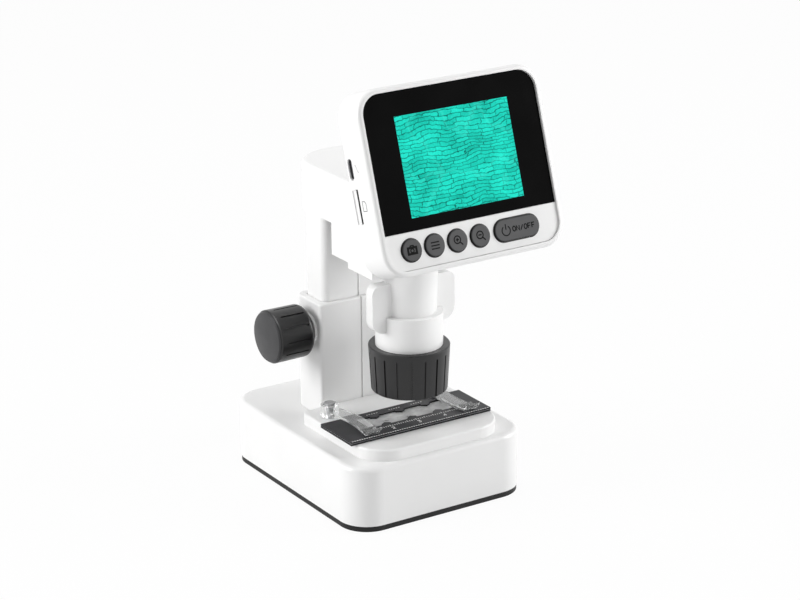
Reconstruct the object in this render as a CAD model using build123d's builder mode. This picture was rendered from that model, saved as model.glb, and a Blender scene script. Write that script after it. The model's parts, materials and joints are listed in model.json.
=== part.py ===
from build123d import *
import os
from math import acos, atan, cos, degrees, pi, radians, sin, tan

# A small bench microscope with its own colour screen. Millimetres, +Z up, -Y towards the
# user, origin on the table under the middle of the base. A weighted base with a raised stage
# carries a hollow column. Inside the column an L-shaped carriage slides up and down on a rack
# and pinion, and holds the lens barrel over the stage and the screen head in front of it.

os.makedirs("parts", exist_ok=True)

# ---------------------------------------------------------------- driving dimensions
touch_gap = 0.15          # all round a piece that is dropped into a recess
running_gap = 0.08        # radial, round anything that turns or slides in a bore
press_gap = 0.02          # radial, round a pin or shaft that is pressed home
end_play = 0.1            # along the axis, at both ends of a turning piece
screw_bore = 1.3          # radius of a hole that a self-tapping screw bites in
screw_clearance = 1.7     # radius of a hole that the same screw passes freely
screw_shank = 1.2
screw_head = 2.9
screw_head_height = 1.4
fine_screw_bore = 0.95
fine_screw_clearance = 1.2
fine_screw_shank = 0.85
fine_screw_head = 1.9
fine_screw_head_height = 0.8
cross_length = 1.2        # the cross in a screw's head, as parts of the head's radius
cross_width = 0.3

# base
base_width = 92.8
base_depth = 113.4
base_corner = 14.0
base_top = 30.5
base_edge = 2.4           # rounding of the top edge
shell_wall = 2.4
foot_thickness = 2.6
foot_inset = 0.3
foot_screw_x = 37.5
foot_screw_y = 47.5
foot_screw_bite = 11.0
foot_screw_sink = 1.6     # depth of the pocket that hides each screw's head
boss_radius = 3.6
ballast_width = 56.0
ballast_depth = 58.0
ballast_thickness = 6.0
ballast_y = 20.0          # middle of the ballast
ballast_corner = 4.0
ballast_chamfer = 0.6

# raised stage
stage_width = 72.6
stage_front = -54.2
stage_front_corner = 15.0
stage_back_corner = 4.0
stage_top = 36.0
stage_edge = 1.0
stage_skin = 2.2
optic_y = -28.0           # the lens axis stands on this line
window_radius = 11.0
window_lip = 1.6
window_sunk = 0.1         # below the stage's top
flange_thickness = 1.5
light_board_drop = 3.5    # below the flange's seat
light_board_thickness = 1.2
light_led = 2.8
light_led_height = 0.9
light_led_circle = 6.5
light_led_count = 6

# carriage: the post inside the column and the arm over it
post_width = 42.6
post_depth = 16.8
post_front = 10.0
post_bottom = 42.0
post_wall = 2.0
post_corner = 3.0
arm_width = 43.6
arm_top = 148.0
arm_wall = 2.0
arm_front = -66.0         # trimmed to the head's tilted back
arm_back = 40.7
arm_back_corner = 19.0
beam_bottom = 125.6
block_back = 1.8
block_bottom = 110.7
seam_x = -3.0             # where the left and right mouldings meet
seam_groove = 0.8
slot_margin = 1.0         # from the shaft to the ends of its slot, at the limits of travel
cable_way = 24.0          # width of the cable openings
cable_height = 8.0
cable_v = -30.8           # up the tilted head, from the middle of the display
arm_screw_u = 16.0
arm_screw_low = -33.6
arm_screw_high = -24.2
arm_screw_bite = 5.0
arm_edge = 2.4            # rounding of the arm's top edge

# column, built out from the post
slide_gap = 0.3
column_side_wall = 3.4
column_front_wall = 2.2
column_back_wall = 2.9
column_top = 85.0
column_socket = 12.0      # how deep the column stands in the base
socket_wall = 2.4
column_front_corner = 1.6
column_back_corner = 5.0
column_edge = 0.8
column_screw_bite = 8.0
column_floor = 1.2        # over the end of each screw

# focus drive
shaft_inset = 7.7         # behind the post's front face
shaft_z = 71.2
shaft_radius = 2.5
bush_wall = 2.0
bush_flange_radius = 7.5
bush_flange = 1.2
gear_module = 0.8
pinion_teeth = 12
pressure_angle = 25.0
backlash = 0.14
pinion_width = 7.0
pinion_x = 5.0
rack_width = 8.0
rack_screw_inset = 3.0    # from the ends of the rack
rack_screw_sink = 0.9
rack_screw_bite = 1.2
travel_up = 20.0
travel_down = 9.0
knob_radius = 12.4
knob_inner_radius = 12.2
knob_length = 19.2
knob_standoff = 2.0       # from the bush flange to the knob
knob_round = 2.8
knob_chamfer = 0.5
knob_groove_count = 12
knob_groove_width = 0.8
knob_groove_depth = 0.55
knob_band = 3.0           # plain band at both ends of the grooves
shaft_clip_thickness = 0.8
shaft_clip_width = 2.0
shaft_groove = 0.5        # depth of the groove that the clip snaps into
shaft_end = 1.0           # what is left of the shaft beyond the clip
shaft_cap_wall = 1.4
shaft_cap_round = 1.0
knob_shaft_cover = 4.0    # from the cap's rim to the end of the shaft
knob_cap_radius = 11.8
knob_cap_rim = 1.0
knob_cap_dome = 1.0

# camera housing and barrel
housing_back = -12.0
housing_front = -32.1
housing_bottom = 108.0
wing_thickness = 5.1
wing_top = 104.5
wing_bottom = 82.0
wing_low_corner = 6.0
wing_high_corner = 4.0
nose_top_radius = 13.6
nose_low_radius = 12.4
nose_bottom = 88.8
nose_wall = 1.6
board_seat = 112.0
tube_radius = 15.3
tube_low_radius = 14.6
tube_step = 70.6
tube_bottom = 54.6
tube_bore = 12.6
tube_throat = 9.2
throat_z = 78.0
spigot_length = 5.4
housing_screw_x = 17.0
housing_screw_back = -16.4
housing_screw_front = -27.7
housing_screw_seat = 118.0
housing_screw_bite = 6.0
fine_boss_radius = 3.1
retainer_chamfer = 0.4
board_disc = 1.2
sensor_side = 8.0
sensor_depth = 1.4

# focus ring and lens
ring_top = 73.2
ring_bottom = 51.7
ring_top_radius = 18.5
ring_low_radius = 17.3
ring_band = 3.2           # plain band above the grooves
ring_chamfer = 0.5
ring_round = 0.8
ring_groove_count = 18
ring_groove_width = 0.9
ring_groove_depth = 0.55
retainer_top = 54.6
retainer_bottom = 52.8
retainer_radius = 16.0
retainer_bore = 11.4
lens_cell_bottom = 60.0
lens_cell_length = 10.0
lens_bore = 6.0
lens_travel = 2.5
key_radius = 1.2
key_reach = 1.1           # beyond the outside of the barrel
lens_rebate = 3.0
lens_lip = 0.8
lens_thickness = 2.4
ring_led = 2.4
ring_led_height = 0.9
ring_led_count = 8

# screen head: a tilted slab, set out from the front of the screen glass. u runs to the
# right, v up the tilted front and w out of it, all from the middle of the display
head_width = 93.0
head_low = -45.4
head_high = 34.7
head_corner = 11.3
head_depth = 17.6         # from the front of the glass to the head's back
head_rim = 2.4
head_back_wall = 1.8
head_front_round = 1.6
head_back_round = 3.0
screen_tilt = 18.4
screen_y = -68.2
screen_z = 169.8
rim_proud = 1.2
panel_proud = 0.3
panel_thickness = 3.0
glass_thickness = 1.2
glass_low = -27.0         # lower edge of the glass, up the tilted front
display_side = 17.7       # from the head's sides to the display
display_height = 43.2
lcd_border = 4.0
lcd_thickness = 2.6
board_depth = 9.0         # front of the main board behind the glass
board_thickness = 1.0
head_screw_side = 5.9     # from the head's sides
head_screw_inset = 6.2    # from the head's lower and upper edges
head_boss = 3.0
head_screw_sink = 1.3
head_screw_bite = 1.2     # into the panel
board_left_gap = 0.4
board_right_gap = 9.7     # from the board to the head's right side
board_top = 12.0
board_neck = -24.0        # below this the board narrows to the width of the keys
board_low = -38.0
board_post_side = 1.8     # from the board's right edge to its posts
board_post_high = 9.0
board_post_low = -26.9
board_post_radius = 1.7
pack_u = 3.0
pack_v = 0.0
pack_width = 52.0
pack_height = 25.0
pack_thickness = 5.2
pack_gap = 0.3
pack_corner = 1.5
chip_side = 12.0
big_chips = [(-8.0, -4.0), (12.0, -4.0)]
small_chips = [(26.0, -4.0), (-24.0, -14.0)]
chip_height = 1.3
board_screw_bite = 3.5

# buttons, in the tilted plane
button_radius = 4.75
button_pitch = 11.6
button_margin = 14.4      # from the head's left side to the middle of the first button
button_v = -34.6
button_count = 4
power_gap = 2.7           # between the last round button and the power button
power_margin = 13.25      # from the head's right side to the end of the power button
button_gap = 0.2
button_proud = 1.2
button_flange = 0.9
button_travel = 0.8
button_round = 0.5
button_brim = 0.8         # how far the flange stands out round the cap
membrane_thickness = 1.2
membrane_side = 10.0      # from the head's sides
membrane_height = 9.0
dome_switch_radius = 2.0
dome_switch_gap = 0.15

# ports in the left side of the head
usb_v = 3.0
usb_width = 8.94
usb_height = 3.2
usb_length = 7.4
usb_drop = 0.9            # between the main board and the socket
card_v = -13.0
card_width = 14.6
card_height = 1.9
card_length = 14.0
card_scoop = 3.6
card_scoop_depth = 0.5
port_sink = 0.5
port_shell = 0.3
card_side_wall = 0.6
port_end = 1.0
usb_tongue_width = 6.6
usb_tongue_thickness = 0.7

# specimen slide and its clips
slide_length = 75.0
slide_width = 26.0
slide_x = -1.3
slide_y = -27.3
frame_layer = 0.75
film_layer = 0.3
slot_length = 48.0
slot_width = 11.6
tab_pitch = 13.8
tab_width = 4.6
tab_height = 2.6
tab_root = 0.2            # how far each tab starts inside the frame's edge
slot_shift = 2.3          # the slot lies this far behind the slide's middle
film_inset = 0.3
clip_x = 28.0
clip_y = -4.5
clip_collar_radius = 4.2
clip_collar_height = 5.4
clip_gap = 0.3
clip_thickness = 1.2
clip_width = 7.4
clip_post_radius = 1.6
clip_post_bite = 6.0
clip_post_head = 2.6
clip_post_head_height = 0.8
clip_bow = 3.5            # how far the middle of the arm bows inwards
clip_toe_shift = 1.4
clip_reach = 33.4         # from the pivot to the toe, along Y
clip_toe = 3.6
clip_toe_angle = 42.0

# battery compartment for the stage light
cell_radius = 5.25
cell_length = 44.5
cell_pitch = 11.6
cell_y = -36.0
door_margin = 2.4
door_thickness = 1.0
door_corner = 1.5
door_grip = 8.0           # length of the three thumb grooves in the door
door_grip_width = 1.2
door_grip_pitch = 3.0
cell_nub = 0.9
cell_nub_radius = 1.9
cell_wall_gap = 0.2       # between the cells and the foot plate
contact_thickness = 0.5
contact_height = 9.0
contact_rib = 1.2
switch_y = 12.0
switch_z = 17.0
switch_travel = 4.0
switch_knob_length = 6.0
switch_knob_height = 4.0
switch_knob_proud = 0.9
switch_plate = 1.4
switch_brim = 1.0
switch_rib_pitch = 1.6
switch_body_length = 19.0
switch_body_height = 9.0
switch_body_depth = 6.0

# ---------------------------------------------------------------- derived places
shaft_y = post_front + shaft_inset
pitch_radius = gear_module * pinion_teeth / 2
gear_pitch = pi * gear_module
post_back = post_front + post_depth
column_width = post_width + 2 * (slide_gap + column_side_wall)
column_front = post_front - slide_gap - column_front_wall
column_back = post_back + slide_gap + column_back_wall
column_mid = (column_front + column_back) / 2
column_depth = column_back - column_front
column_foot = base_top - column_socket
optic = (0, optic_y)
head_plane = Plane(
    origin=(0, screen_y, screen_z),
    x_dir=(1, 0, 0),
    z_dir=(0, -cos(radians(screen_tilt)), sin(radians(screen_tilt))),
)
head_axis = Axis((0, 0, 0), tuple(head_plane.z_dir))
panel_back = panel_proud - panel_thickness
head_mid = (head_low + head_high) / 2
head_height = head_high - head_low
head_screw_places = [
    (side * (head_width / 2 - head_screw_side), v)
    for side in (-1, 1)
    for v in (head_low + head_screw_inset, head_high - head_screw_inset)
]
arm_screw_places = [
    (side * arm_screw_u, v) for side in (-1, 1) for v in (arm_screw_low, arm_screw_high)
]
slide_top = stage_top + 2 * frame_layer + film_layer
clip_places = [(-clip_x, clip_y), (clip_x, clip_y)]
ring_height = ring_top - ring_bottom
ring_taper = (ring_top_radius - ring_low_radius) / ring_height
key_z = lens_cell_bottom + lens_cell_length / 2
key_run = lens_travel + key_radius + touch_gap


# ---------------------------------------------------------------- helpers
def upright(y):
    """A plane that faces the user, at the depth y; its sketch x is +X and its y is +Z."""
    return Plane.XZ.offset(-y)


def level(z, x=0, y=0):
    """A horizontal plane at the height z."""
    return Plane((x, y, z))


def across(x, y=0, z=0, facing=1):
    """A plane across the machine: sketch x is along Y, and it faces +X or -X."""
    return Plane(origin=(x, y, z), x_dir=(0, facing, 0), z_dir=(facing, 0, 0))


def backward(x, y, z):
    """A plane that faces away from the user."""
    return Plane(origin=(x, y, z), x_dir=(1, 0, 0), z_dir=(0, 1, 0))


def downward(x, y, z):
    """A horizontal plane that faces down."""
    return Plane(origin=(x, y, z), x_dir=(1, 0, 0), z_dir=(0, 0, -1))


def screws(planes, head_radius, head_height, shank_radius, shank_length):
    """Cross-headed screws, one on each plane, their heads standing out of it."""
    with BuildPart() as group:
        for plane in planes:
            with BuildSketch(plane):
                Circle(head_radius)
            extrude(amount=head_height)
            with BuildSketch(plane):
                Circle(shank_radius)
            extrude(amount=-shank_length)
            with BuildSketch(plane.offset(head_height)):
                Rectangle(head_radius * cross_length, head_radius * cross_width)
                Rectangle(head_radius * cross_width, head_radius * cross_length)
            extrude(amount=-head_height / 2, mode=Mode.SUBTRACT)
    return group


def half_of(whole, keep):
    """The left or right moulding of a shell that is parted along the seam."""
    with BuildPart() as half:
        add(whole.part)
        split(bisect_by=Plane.YZ.offset(seam_x), keep=keep)
    return half


def outline(width, depth, corner, x=0, y=0):
    with Locations((x, y)):
        RectangleRounded(width, depth, corner)


def two_corner_outline(width, depth, low_corner, high_corner, x=0, y=0):
    """A rectangle with one radius on the two corners at low y and another on the other two."""
    with Locations((x, y)):
        Rectangle(width, depth)
    if high_corner:
        fillet(vertices().sort_by(Axis.Y)[-2:], high_corner)
    if low_corner:
        fillet(vertices().sort_by(Axis.Y)[:2], low_corner)


def flutes(count, radius, slope, width, depth, length):
    """Long grooves cut round a tapered grip, lying along its slope; 0,0,0 is their middle."""
    with PolarLocations(radius, count):
        Box(2 * depth, width, length, rotation=(0, slope, 0), mode=Mode.SUBTRACT)


def rods(planes, radius, length, mode=Mode.ADD):
    """Round rods that stand on the given planes, or the holes for them."""
    with Locations(*planes):
        Cylinder(radius, length, align=(Align.CENTER, Align.CENTER, Align.MIN), mode=mode)


def upright_posts(places, radius, low, high):
    """Round posts from one height to another."""
    rods([level(low, x, y) for x, y in places], radius, high - low)


def upright_holes(places, radius, low, high):
    """Round holes from one height to another."""
    rods([level(low, x, y) for x, y in places], radius, high - low, Mode.SUBTRACT)


def in_head(u, v, w, facing=1):
    """A plane parallel to the glass at a place in the head, facing out of it or into it."""
    return Plane(
        origin=tuple(head_plane.from_local_coords((u, v, w))),
        x_dir=(1, 0, 0),
        z_dir=tuple(head_plane.z_dir * facing),
    )


def bored_from_back(places, radius, depth):
    """Round holes from the head's back towards the glass."""
    rods([in_head(u, v, -head_depth) for u, v in places], radius, depth, Mode.SUBTRACT)


# ---------------------------------------------------------------- base
stage_back = column_front
stage_depth = stage_back - stage_front
stage_mid = (stage_front + stage_back) / 2


def stage_outline(inset=0.0):
    """Plan of the stage: broad round corners in front, small ones beside the column."""
    two_corner_outline(
        stage_width - 2 * inset,
        stage_depth - 2 * inset,
        stage_front_corner - inset,
        stage_back_corner - inset,
        y=stage_mid,
    )


def column_outline(grow=0.0):
    """Plan of the column, grown all round for the socket that it stands in."""
    two_corner_outline(
        column_width + 2 * grow,
        column_depth + 2 * grow,
        column_front_corner + grow,
        column_back_corner + grow,
        y=column_mid,
    )


column_screw_places = [
    (side * (post_width / 2 - boss_radius), y)
    for side in (-1, 1)
    for y in (post_front + boss_radius, post_back - boss_radius)
]
foot_screw_places = [(sx * foot_screw_x, sy * foot_screw_y) for sx in (-1, 1) for sy in (-1, 1)]
window_seat = stage_top - stage_skin
switch_wall = base_width / 2 - shell_wall
switch_slot_height = switch_knob_height + 2 * touch_gap
light_radius = window_radius + window_lip
light_board_top = window_seat - light_board_drop

with BuildPart() as base_shell:
    with BuildSketch(level(foot_thickness)):
        outline(base_width, base_depth, base_corner)
    extrude(amount=base_top - foot_thickness)
    fillet(base_shell.faces().sort_by(Axis.Z)[-1].edges(), base_edge)
    with BuildSketch(level(base_top - base_edge)):
        stage_outline()
    extrude(amount=stage_top - base_top + base_edge)
    fillet(base_shell.faces().sort_by(Axis.Z)[-1].edges(), stage_edge)
    with BuildSketch(level(foot_thickness)):
        outline(base_width - 2 * shell_wall, base_depth - 2 * shell_wall, base_corner - shell_wall)
    extrude(amount=base_top - shell_wall - foot_thickness, mode=Mode.SUBTRACT)
    with BuildSketch(level(foot_thickness)):
        stage_outline(shell_wall)
    extrude(amount=window_seat - foot_thickness, mode=Mode.SUBTRACT)
    # socket for the column, with a floor that the column's screws pull against
    with BuildSketch(level(column_foot - socket_wall)):
        column_outline(touch_gap + socket_wall)
    extrude(amount=column_socket - base_edge + socket_wall)
    with BuildSketch(level(column_foot)):
        column_outline(touch_gap)
    extrude(amount=stage_top, mode=Mode.SUBTRACT)
    upright_holes(
        column_screw_places, screw_clearance, column_foot - socket_wall, column_foot
    )
    # round window for the stage light
    upright_holes([optic], window_radius, window_seat, stage_top)
    # bosses for the foot plate's screws, and for the two clip posts
    upright_posts(foot_screw_places, boss_radius, foot_thickness, base_top - shell_wall / 2)
    upright_holes(foot_screw_places, screw_bore, foot_thickness, foot_thickness + foot_screw_bite)
    upright_posts(clip_places, boss_radius, stage_top - clip_post_bite, window_seat + stage_skin / 2)
    upright_holes(clip_places, clip_post_radius, stage_top - clip_post_bite, stage_top)
    # slot for the stage light's switch, in the right side
    with BuildSketch(across(switch_wall, switch_y, switch_z)):
        Rectangle(switch_knob_length + switch_travel + 2 * touch_gap, switch_slot_height)
    extrude(amount=shell_wall, mode=Mode.SUBTRACT)

cell_z = foot_thickness + cell_radius + cell_wall_gap
cell_rows = [cell_y - cell_pitch / 2, cell_y + cell_pitch / 2]
door_width = cell_length - 2 * door_margin
door_depth = cell_pitch + 2 * cell_radius - 2 * door_margin
cells_depth = cell_pitch + 2 * cell_radius
contact_x = cell_length / 2 + contact_thickness / 2

with BuildPart() as foot_plate:
    with BuildSketch(level(0)):
        outline(
            base_width - 2 * foot_inset, base_depth - 2 * foot_inset, base_corner - foot_inset
        )
    extrude(amount=foot_thickness)
    upright_holes(foot_screw_places, screw_clearance, 0, foot_thickness)
    upright_holes(foot_screw_places, screw_head + 2 * touch_gap, 0, foot_screw_sink)
    with BuildSketch(level(0)):
        outline(door_width, door_depth, door_corner, y=cell_y)
    extrude(amount=door_thickness, mode=Mode.SUBTRACT)
    with BuildSketch(level(0)):
        outline(door_width - 2 * door_margin, door_depth - 2 * door_margin, door_corner, y=cell_y)
    extrude(amount=foot_thickness, mode=Mode.SUBTRACT)
    # a rib behind each battery contact
    for side in (-1, 1):
        with BuildSketch(level(foot_thickness)):
            with Locations((side * (contact_x + contact_thickness / 2 + contact_rib / 2), cell_y)):
                Rectangle(contact_rib, cells_depth)
        extrude(amount=contact_height)

with BuildPart() as battery_door:
    with BuildSketch(level(0)):
        outline(
            door_width - 2 * touch_gap, door_depth - 2 * touch_gap, door_corner - touch_gap, y=cell_y
        )
    extrude(amount=door_thickness)
    with BuildSketch(level(0, 0, cell_y)):
        with GridLocations(door_grip_pitch, 1, 3, 1):
            Rectangle(door_grip_width, door_grip)
    extrude(amount=door_thickness / 2, mode=Mode.SUBTRACT)

with BuildPart() as battery_cells:
    for facing, y in zip((1, -1), cell_rows):
        with BuildSketch(across(-facing * cell_length / 2, y, cell_z, facing)):
            Circle(cell_radius)
        extrude(amount=cell_length - cell_nub)
        with BuildSketch(across(-facing * cell_length / 2, y, cell_z, facing)):
            Circle(cell_nub_radius)
        extrude(amount=cell_length)

with BuildPart() as battery_contacts:
    for side in (-1, 1):
        with BuildSketch(across(side * contact_x, cell_y, foot_thickness + contact_height / 2)):
            Rectangle(cells_depth, contact_height)
        extrude(amount=contact_thickness / 2, both=True)

with BuildPart() as ballast_plate:
    with BuildSketch(level(foot_thickness)):
        outline(ballast_width, ballast_depth, ballast_corner, y=ballast_y)
    extrude(amount=ballast_thickness)
    chamfer(ballast_plate.faces().sort_by(Axis.Z)[-1].edges(), ballast_chamfer)

base_screws = screws(
    [downward(x, y, foot_screw_sink) for x, y in foot_screw_places],
    screw_head,
    screw_head_height,
    screw_shank,
    foot_thickness - foot_screw_sink + foot_screw_bite - end_play,
)
column_screws = screws(
    [downward(x, y, column_foot - socket_wall) for x, y in column_screw_places],
    screw_head,
    screw_head_height,
    screw_shank,
    socket_wall + column_screw_bite - end_play,
)

# ---------------------------------------------------------------- stage light
with BuildPart() as stage_diffuser:
    upright_posts([optic], light_radius, window_seat - flange_thickness, window_seat)
    upright_posts([optic], window_radius - touch_gap, window_seat, stage_top - window_sunk)
    upright_posts([optic], light_radius, light_board_top, window_seat - flange_thickness)
    upright_holes([optic], window_radius, light_board_top, window_seat - flange_thickness)

with BuildPart() as light_board:
    upright_posts([optic], light_radius, light_board_top - light_board_thickness, light_board_top)
    with BuildSketch(level(light_board_top, 0, optic_y)):
        Rectangle(light_led, light_led)
        with PolarLocations(light_led_circle, light_led_count):
            Rectangle(light_led, light_led)
    extrude(amount=light_led_height)

# the switch body hangs on the inside of the wall, and its knob comes out through the slot
switch_rest_y = switch_y - switch_travel / 2
with BuildPart() as switch_body:
    with BuildSketch(across(switch_wall, switch_y, switch_z, facing=-1)):
        Rectangle(switch_body_length, switch_body_height)
    extrude(amount=switch_body_depth)
    with BuildSketch(across(switch_wall, switch_y, switch_z, facing=-1)):
        Rectangle(
            switch_knob_length + switch_travel + 2 * (switch_brim + touch_gap),
            switch_knob_height + 2 * (switch_brim + touch_gap),
        )
    extrude(amount=switch_plate + 2 * end_play, mode=Mode.SUBTRACT)

with BuildPart() as light_switch:
    with BuildSketch(across(switch_wall - end_play, switch_rest_y, switch_z, facing=-1)):
        Rectangle(switch_knob_length + 2 * switch_brim, switch_knob_height + 2 * switch_brim)
    extrude(amount=switch_plate)
    with BuildSketch(across(switch_wall - end_play, switch_rest_y, switch_z)):
        Rectangle(switch_knob_length, switch_knob_height)
    extrude(amount=end_play + shell_wall + switch_knob_proud)
    with BuildSketch(across(base_width / 2 + switch_knob_proud, switch_rest_y, switch_z)):
        with GridLocations(switch_rib_pitch, 1, 3, 1):
            Rectangle(switch_rib_pitch / 2, switch_knob_height)
    extrude(amount=-switch_knob_proud / 2, mode=Mode.SUBTRACT)

# ---------------------------------------------------------------- column
with BuildPart() as column:
    with BuildSketch(level(column_foot)):
        column_outline()
    extrude(amount=column_top - column_foot)
    fillet(column.faces().sort_by(Axis.Z)[-1].edges(), column_edge)
    with BuildSketch(level(column_foot)):
        outline(
            post_width + 2 * slide_gap,
            post_depth + 2 * slide_gap,
            post_corner,
            y=post_front + post_depth / 2,
        )
    extrude(amount=column_top, mode=Mode.SUBTRACT)
    # a boss in each corner of the foot, for the screws that come up through the socket
    with BuildSketch(level(column_foot)):
        with Locations(*column_screw_places):
            Rectangle(2 * (boss_radius + slide_gap), 2 * (boss_radius + slide_gap))
    extrude(amount=column_screw_bite + column_floor)
    upright_holes(column_screw_places, screw_bore, column_foot, column_foot + column_screw_bite)
    # holes for the two shaft bushes, and a fine groove along the seam
    with BuildSketch(across(-column_width, shaft_y, shaft_z)):
        Circle(shaft_radius + bush_wall)
    extrude(amount=2 * column_width, mode=Mode.SUBTRACT)
    with BuildSketch(level(column_foot)):
        with Locations((seam_x, column_front)):
            Rectangle(seam_groove, 2 * seam_groove)
    extrude(amount=column_top, mode=Mode.SUBTRACT)

column_left_shell = half_of(column, Keep.BOTTOM)
column_right_shell = half_of(column, Keep.TOP)

# ---------------------------------------------------------------- focus drive
column_side = column_width / 2
flange_face = column_side + bush_flange
with BuildPart() as shaft_bushes:
    for facing in (-1, 1):
        with BuildSketch(across(facing * (column_side - column_side_wall), shaft_y, shaft_z, facing)):
            Circle(shaft_radius + bush_wall - press_gap)
        extrude(amount=column_side_wall)
        with BuildSketch(across(facing * column_side, shaft_y, shaft_z, facing)):
            Circle(bush_flange_radius)
        extrude(amount=bush_flange)
        with BuildSketch(across(facing * flange_face, shaft_y, shaft_z, facing)):
            Circle(shaft_radius + running_gap)
        extrude(amount=-(bush_flange + column_side_wall), mode=Mode.SUBTRACT)

# the shaft ends in the knob on the left, and in a snap ring under a cap on the right
clip_outer_x = flange_face + end_play + shaft_clip_thickness
shaft_right = clip_outer_x + shaft_end
knob_inner_x = -(flange_face + knob_standoff)
knob_outer_x = knob_inner_x - knob_length
shaft_left = knob_outer_x + knob_shaft_cover
with BuildPart() as focus_shaft:
    with BuildSketch(across(shaft_left, shaft_y, shaft_z)):
        Circle(shaft_radius)
    extrude(amount=shaft_right - shaft_left)
    with BuildSketch(across(clip_outer_x, shaft_y, shaft_z)):
        Circle(shaft_radius)
        Circle(shaft_radius - shaft_groove, mode=Mode.SUBTRACT)
    extrude(amount=-shaft_clip_thickness, mode=Mode.SUBTRACT)

with BuildPart() as shaft_clip:
    with BuildSketch(across(clip_outer_x, shaft_y, shaft_z)):
        Circle(shaft_radius + shaft_clip_width)
        Circle(shaft_radius - shaft_groove + press_gap, mode=Mode.SUBTRACT)
        with Locations((0, -shaft_radius)):
            Rectangle(shaft_clip_width, 2 * shaft_radius, mode=Mode.SUBTRACT)
    extrude(amount=-shaft_clip_thickness)

cap_depth = shaft_right - flange_face + touch_gap
with BuildPart() as shaft_cap:
    with BuildSketch(across(flange_face, shaft_y, shaft_z)):
        Circle(bush_flange_radius)
    extrude(amount=cap_depth + shaft_cap_wall)
    fillet(shaft_cap.faces().sort_by(Axis.X)[-1].edges(), shaft_cap_round)
    with BuildSketch(across(flange_face, shaft_y, shaft_z)):
        Circle(bush_flange_radius - shaft_cap_wall)
    extrude(amount=cap_depth, mode=Mode.SUBTRACT)

# pinion: an involute tooth, repeated round the root circle
flank_angle = radians(pressure_angle)
base_radius = pitch_radius * cos(flank_angle)
dedendum = 1.2 * gear_module
tip_radius = pitch_radius + gear_module
root_radius = pitch_radius - dedendum
flank_steps = 6


def involute(angle):
    return tan(angle) - angle


def half_tooth_angle(radius):
    """Half the tooth's angle at a radius; straight and radial inside the base circle."""
    at = acos(base_radius / max(radius, base_radius))
    half_pitch = pi / (2 * pinion_teeth) - backlash / (2 * pitch_radius)
    return half_pitch + involute(flank_angle) - involute(at)


def flank(side):
    """Points up one flank, from the base circle to the tip."""
    points = []
    for step in range(flank_steps + 1):
        radius = base_radius + (tip_radius - base_radius) * step / flank_steps
        angle = side * half_tooth_angle(radius)
        points.append((radius * cos(angle), radius * sin(angle)))
    return points


with BuildPart() as drive_pinion:
    with BuildSketch(across(pinion_x - pinion_width / 2, shaft_y, shaft_z)):
        Circle(root_radius)
        with PolarLocations(0, pinion_teeth):
            with BuildLine():
                low = flank(-1)
                high = flank(1)
                Spline(*low)
                Line(low[-1], high[-1])
                Spline(*high)
                Polyline(high[0], (0, 0), low[0])
            make_face()
        Circle(shaft_radius + press_gap, mode=Mode.SUBTRACT)
    extrude(amount=pinion_width)

rack_low = shaft_z - travel_up - 2 * gear_pitch
rack_high = shaft_z + travel_down + 2 * gear_pitch
rack_back = post_depth - post_wall - shaft_inset
rack_tooth_half = gear_pitch / 4 - backlash / 2
rack_seat = post_back - post_wall
rack_screw_heights = [rack_low + rack_screw_inset, rack_high - rack_screw_inset]


def rack_points():
    """The rack's side view: teeth towards the pinion, a gap facing it at rest."""
    tip = pitch_radius - gear_module
    root = pitch_radius + dedendum
    rise = tan(flank_angle)
    points = [(rack_back, rack_low - shaft_z), (root, rack_low - shaft_z)]
    first = int((rack_low - shaft_z) / gear_pitch) + 1
    last = int((rack_high - shaft_z) / gear_pitch) - 1
    for tooth in range(first, last):
        middle = (tooth + 0.5) * gear_pitch
        root_half = rack_tooth_half + rise * (root - pitch_radius)
        tip_half = rack_tooth_half - rise * (pitch_radius - tip)
        points += [(root, middle - root_half), (tip, middle - tip_half)]
        points += [(tip, middle + tip_half), (root, middle + root_half)]
    return points + [(root, rack_high - shaft_z), (rack_back, rack_high - shaft_z)]


with BuildPart() as focus_rack:
    with BuildSketch(across(pinion_x - rack_width / 2, shaft_y, shaft_z)):
        with BuildLine():
            Polyline(*rack_points(), close=True)
        make_face()
    extrude(amount=rack_width)
    for z in rack_screw_heights:
        with BuildSketch(backward(pinion_x, rack_seat, z)):
            Circle(fine_screw_bore)
        extrude(amount=-rack_screw_bite, mode=Mode.SUBTRACT)

rack_screws = screws(
    [backward(pinion_x, post_back - rack_screw_sink, z) for z in rack_screw_heights],
    fine_screw_head,
    fine_screw_head_height,
    fine_screw_shank,
    post_wall - rack_screw_sink + rack_screw_bite - end_play,
)

knob_grip_x = knob_outer_x + knob_cap_rim
knob_grip = knob_length - knob_cap_rim
knob_slope = degrees(atan((knob_radius - knob_inner_radius) / knob_grip))
with BuildPart() as focus_knob:
    with BuildSketch(across(knob_grip_x, shaft_y, shaft_z)):
        Circle(knob_radius)
    with BuildSketch(across(knob_inner_x, shaft_y, shaft_z)):
        Circle(knob_inner_radius)
    loft()
    fillet(focus_knob.edges().sort_by(Axis.X)[-1], knob_round)
    chamfer(focus_knob.edges().sort_by(Axis.X)[0], knob_chamfer)
    with Locations(across((knob_grip_x + knob_inner_x) / 2, shaft_y, shaft_z)):
        flutes(
            knob_groove_count,
            (knob_radius + knob_inner_radius) / 2,
            -knob_slope,
            knob_groove_width,
            knob_groove_depth,
            knob_grip - 2 * knob_band,
        )
    with BuildSketch(across(shaft_left, shaft_y, shaft_z)):
        Circle(shaft_radius + press_gap)
    extrude(amount=knob_length, mode=Mode.SUBTRACT)

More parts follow.
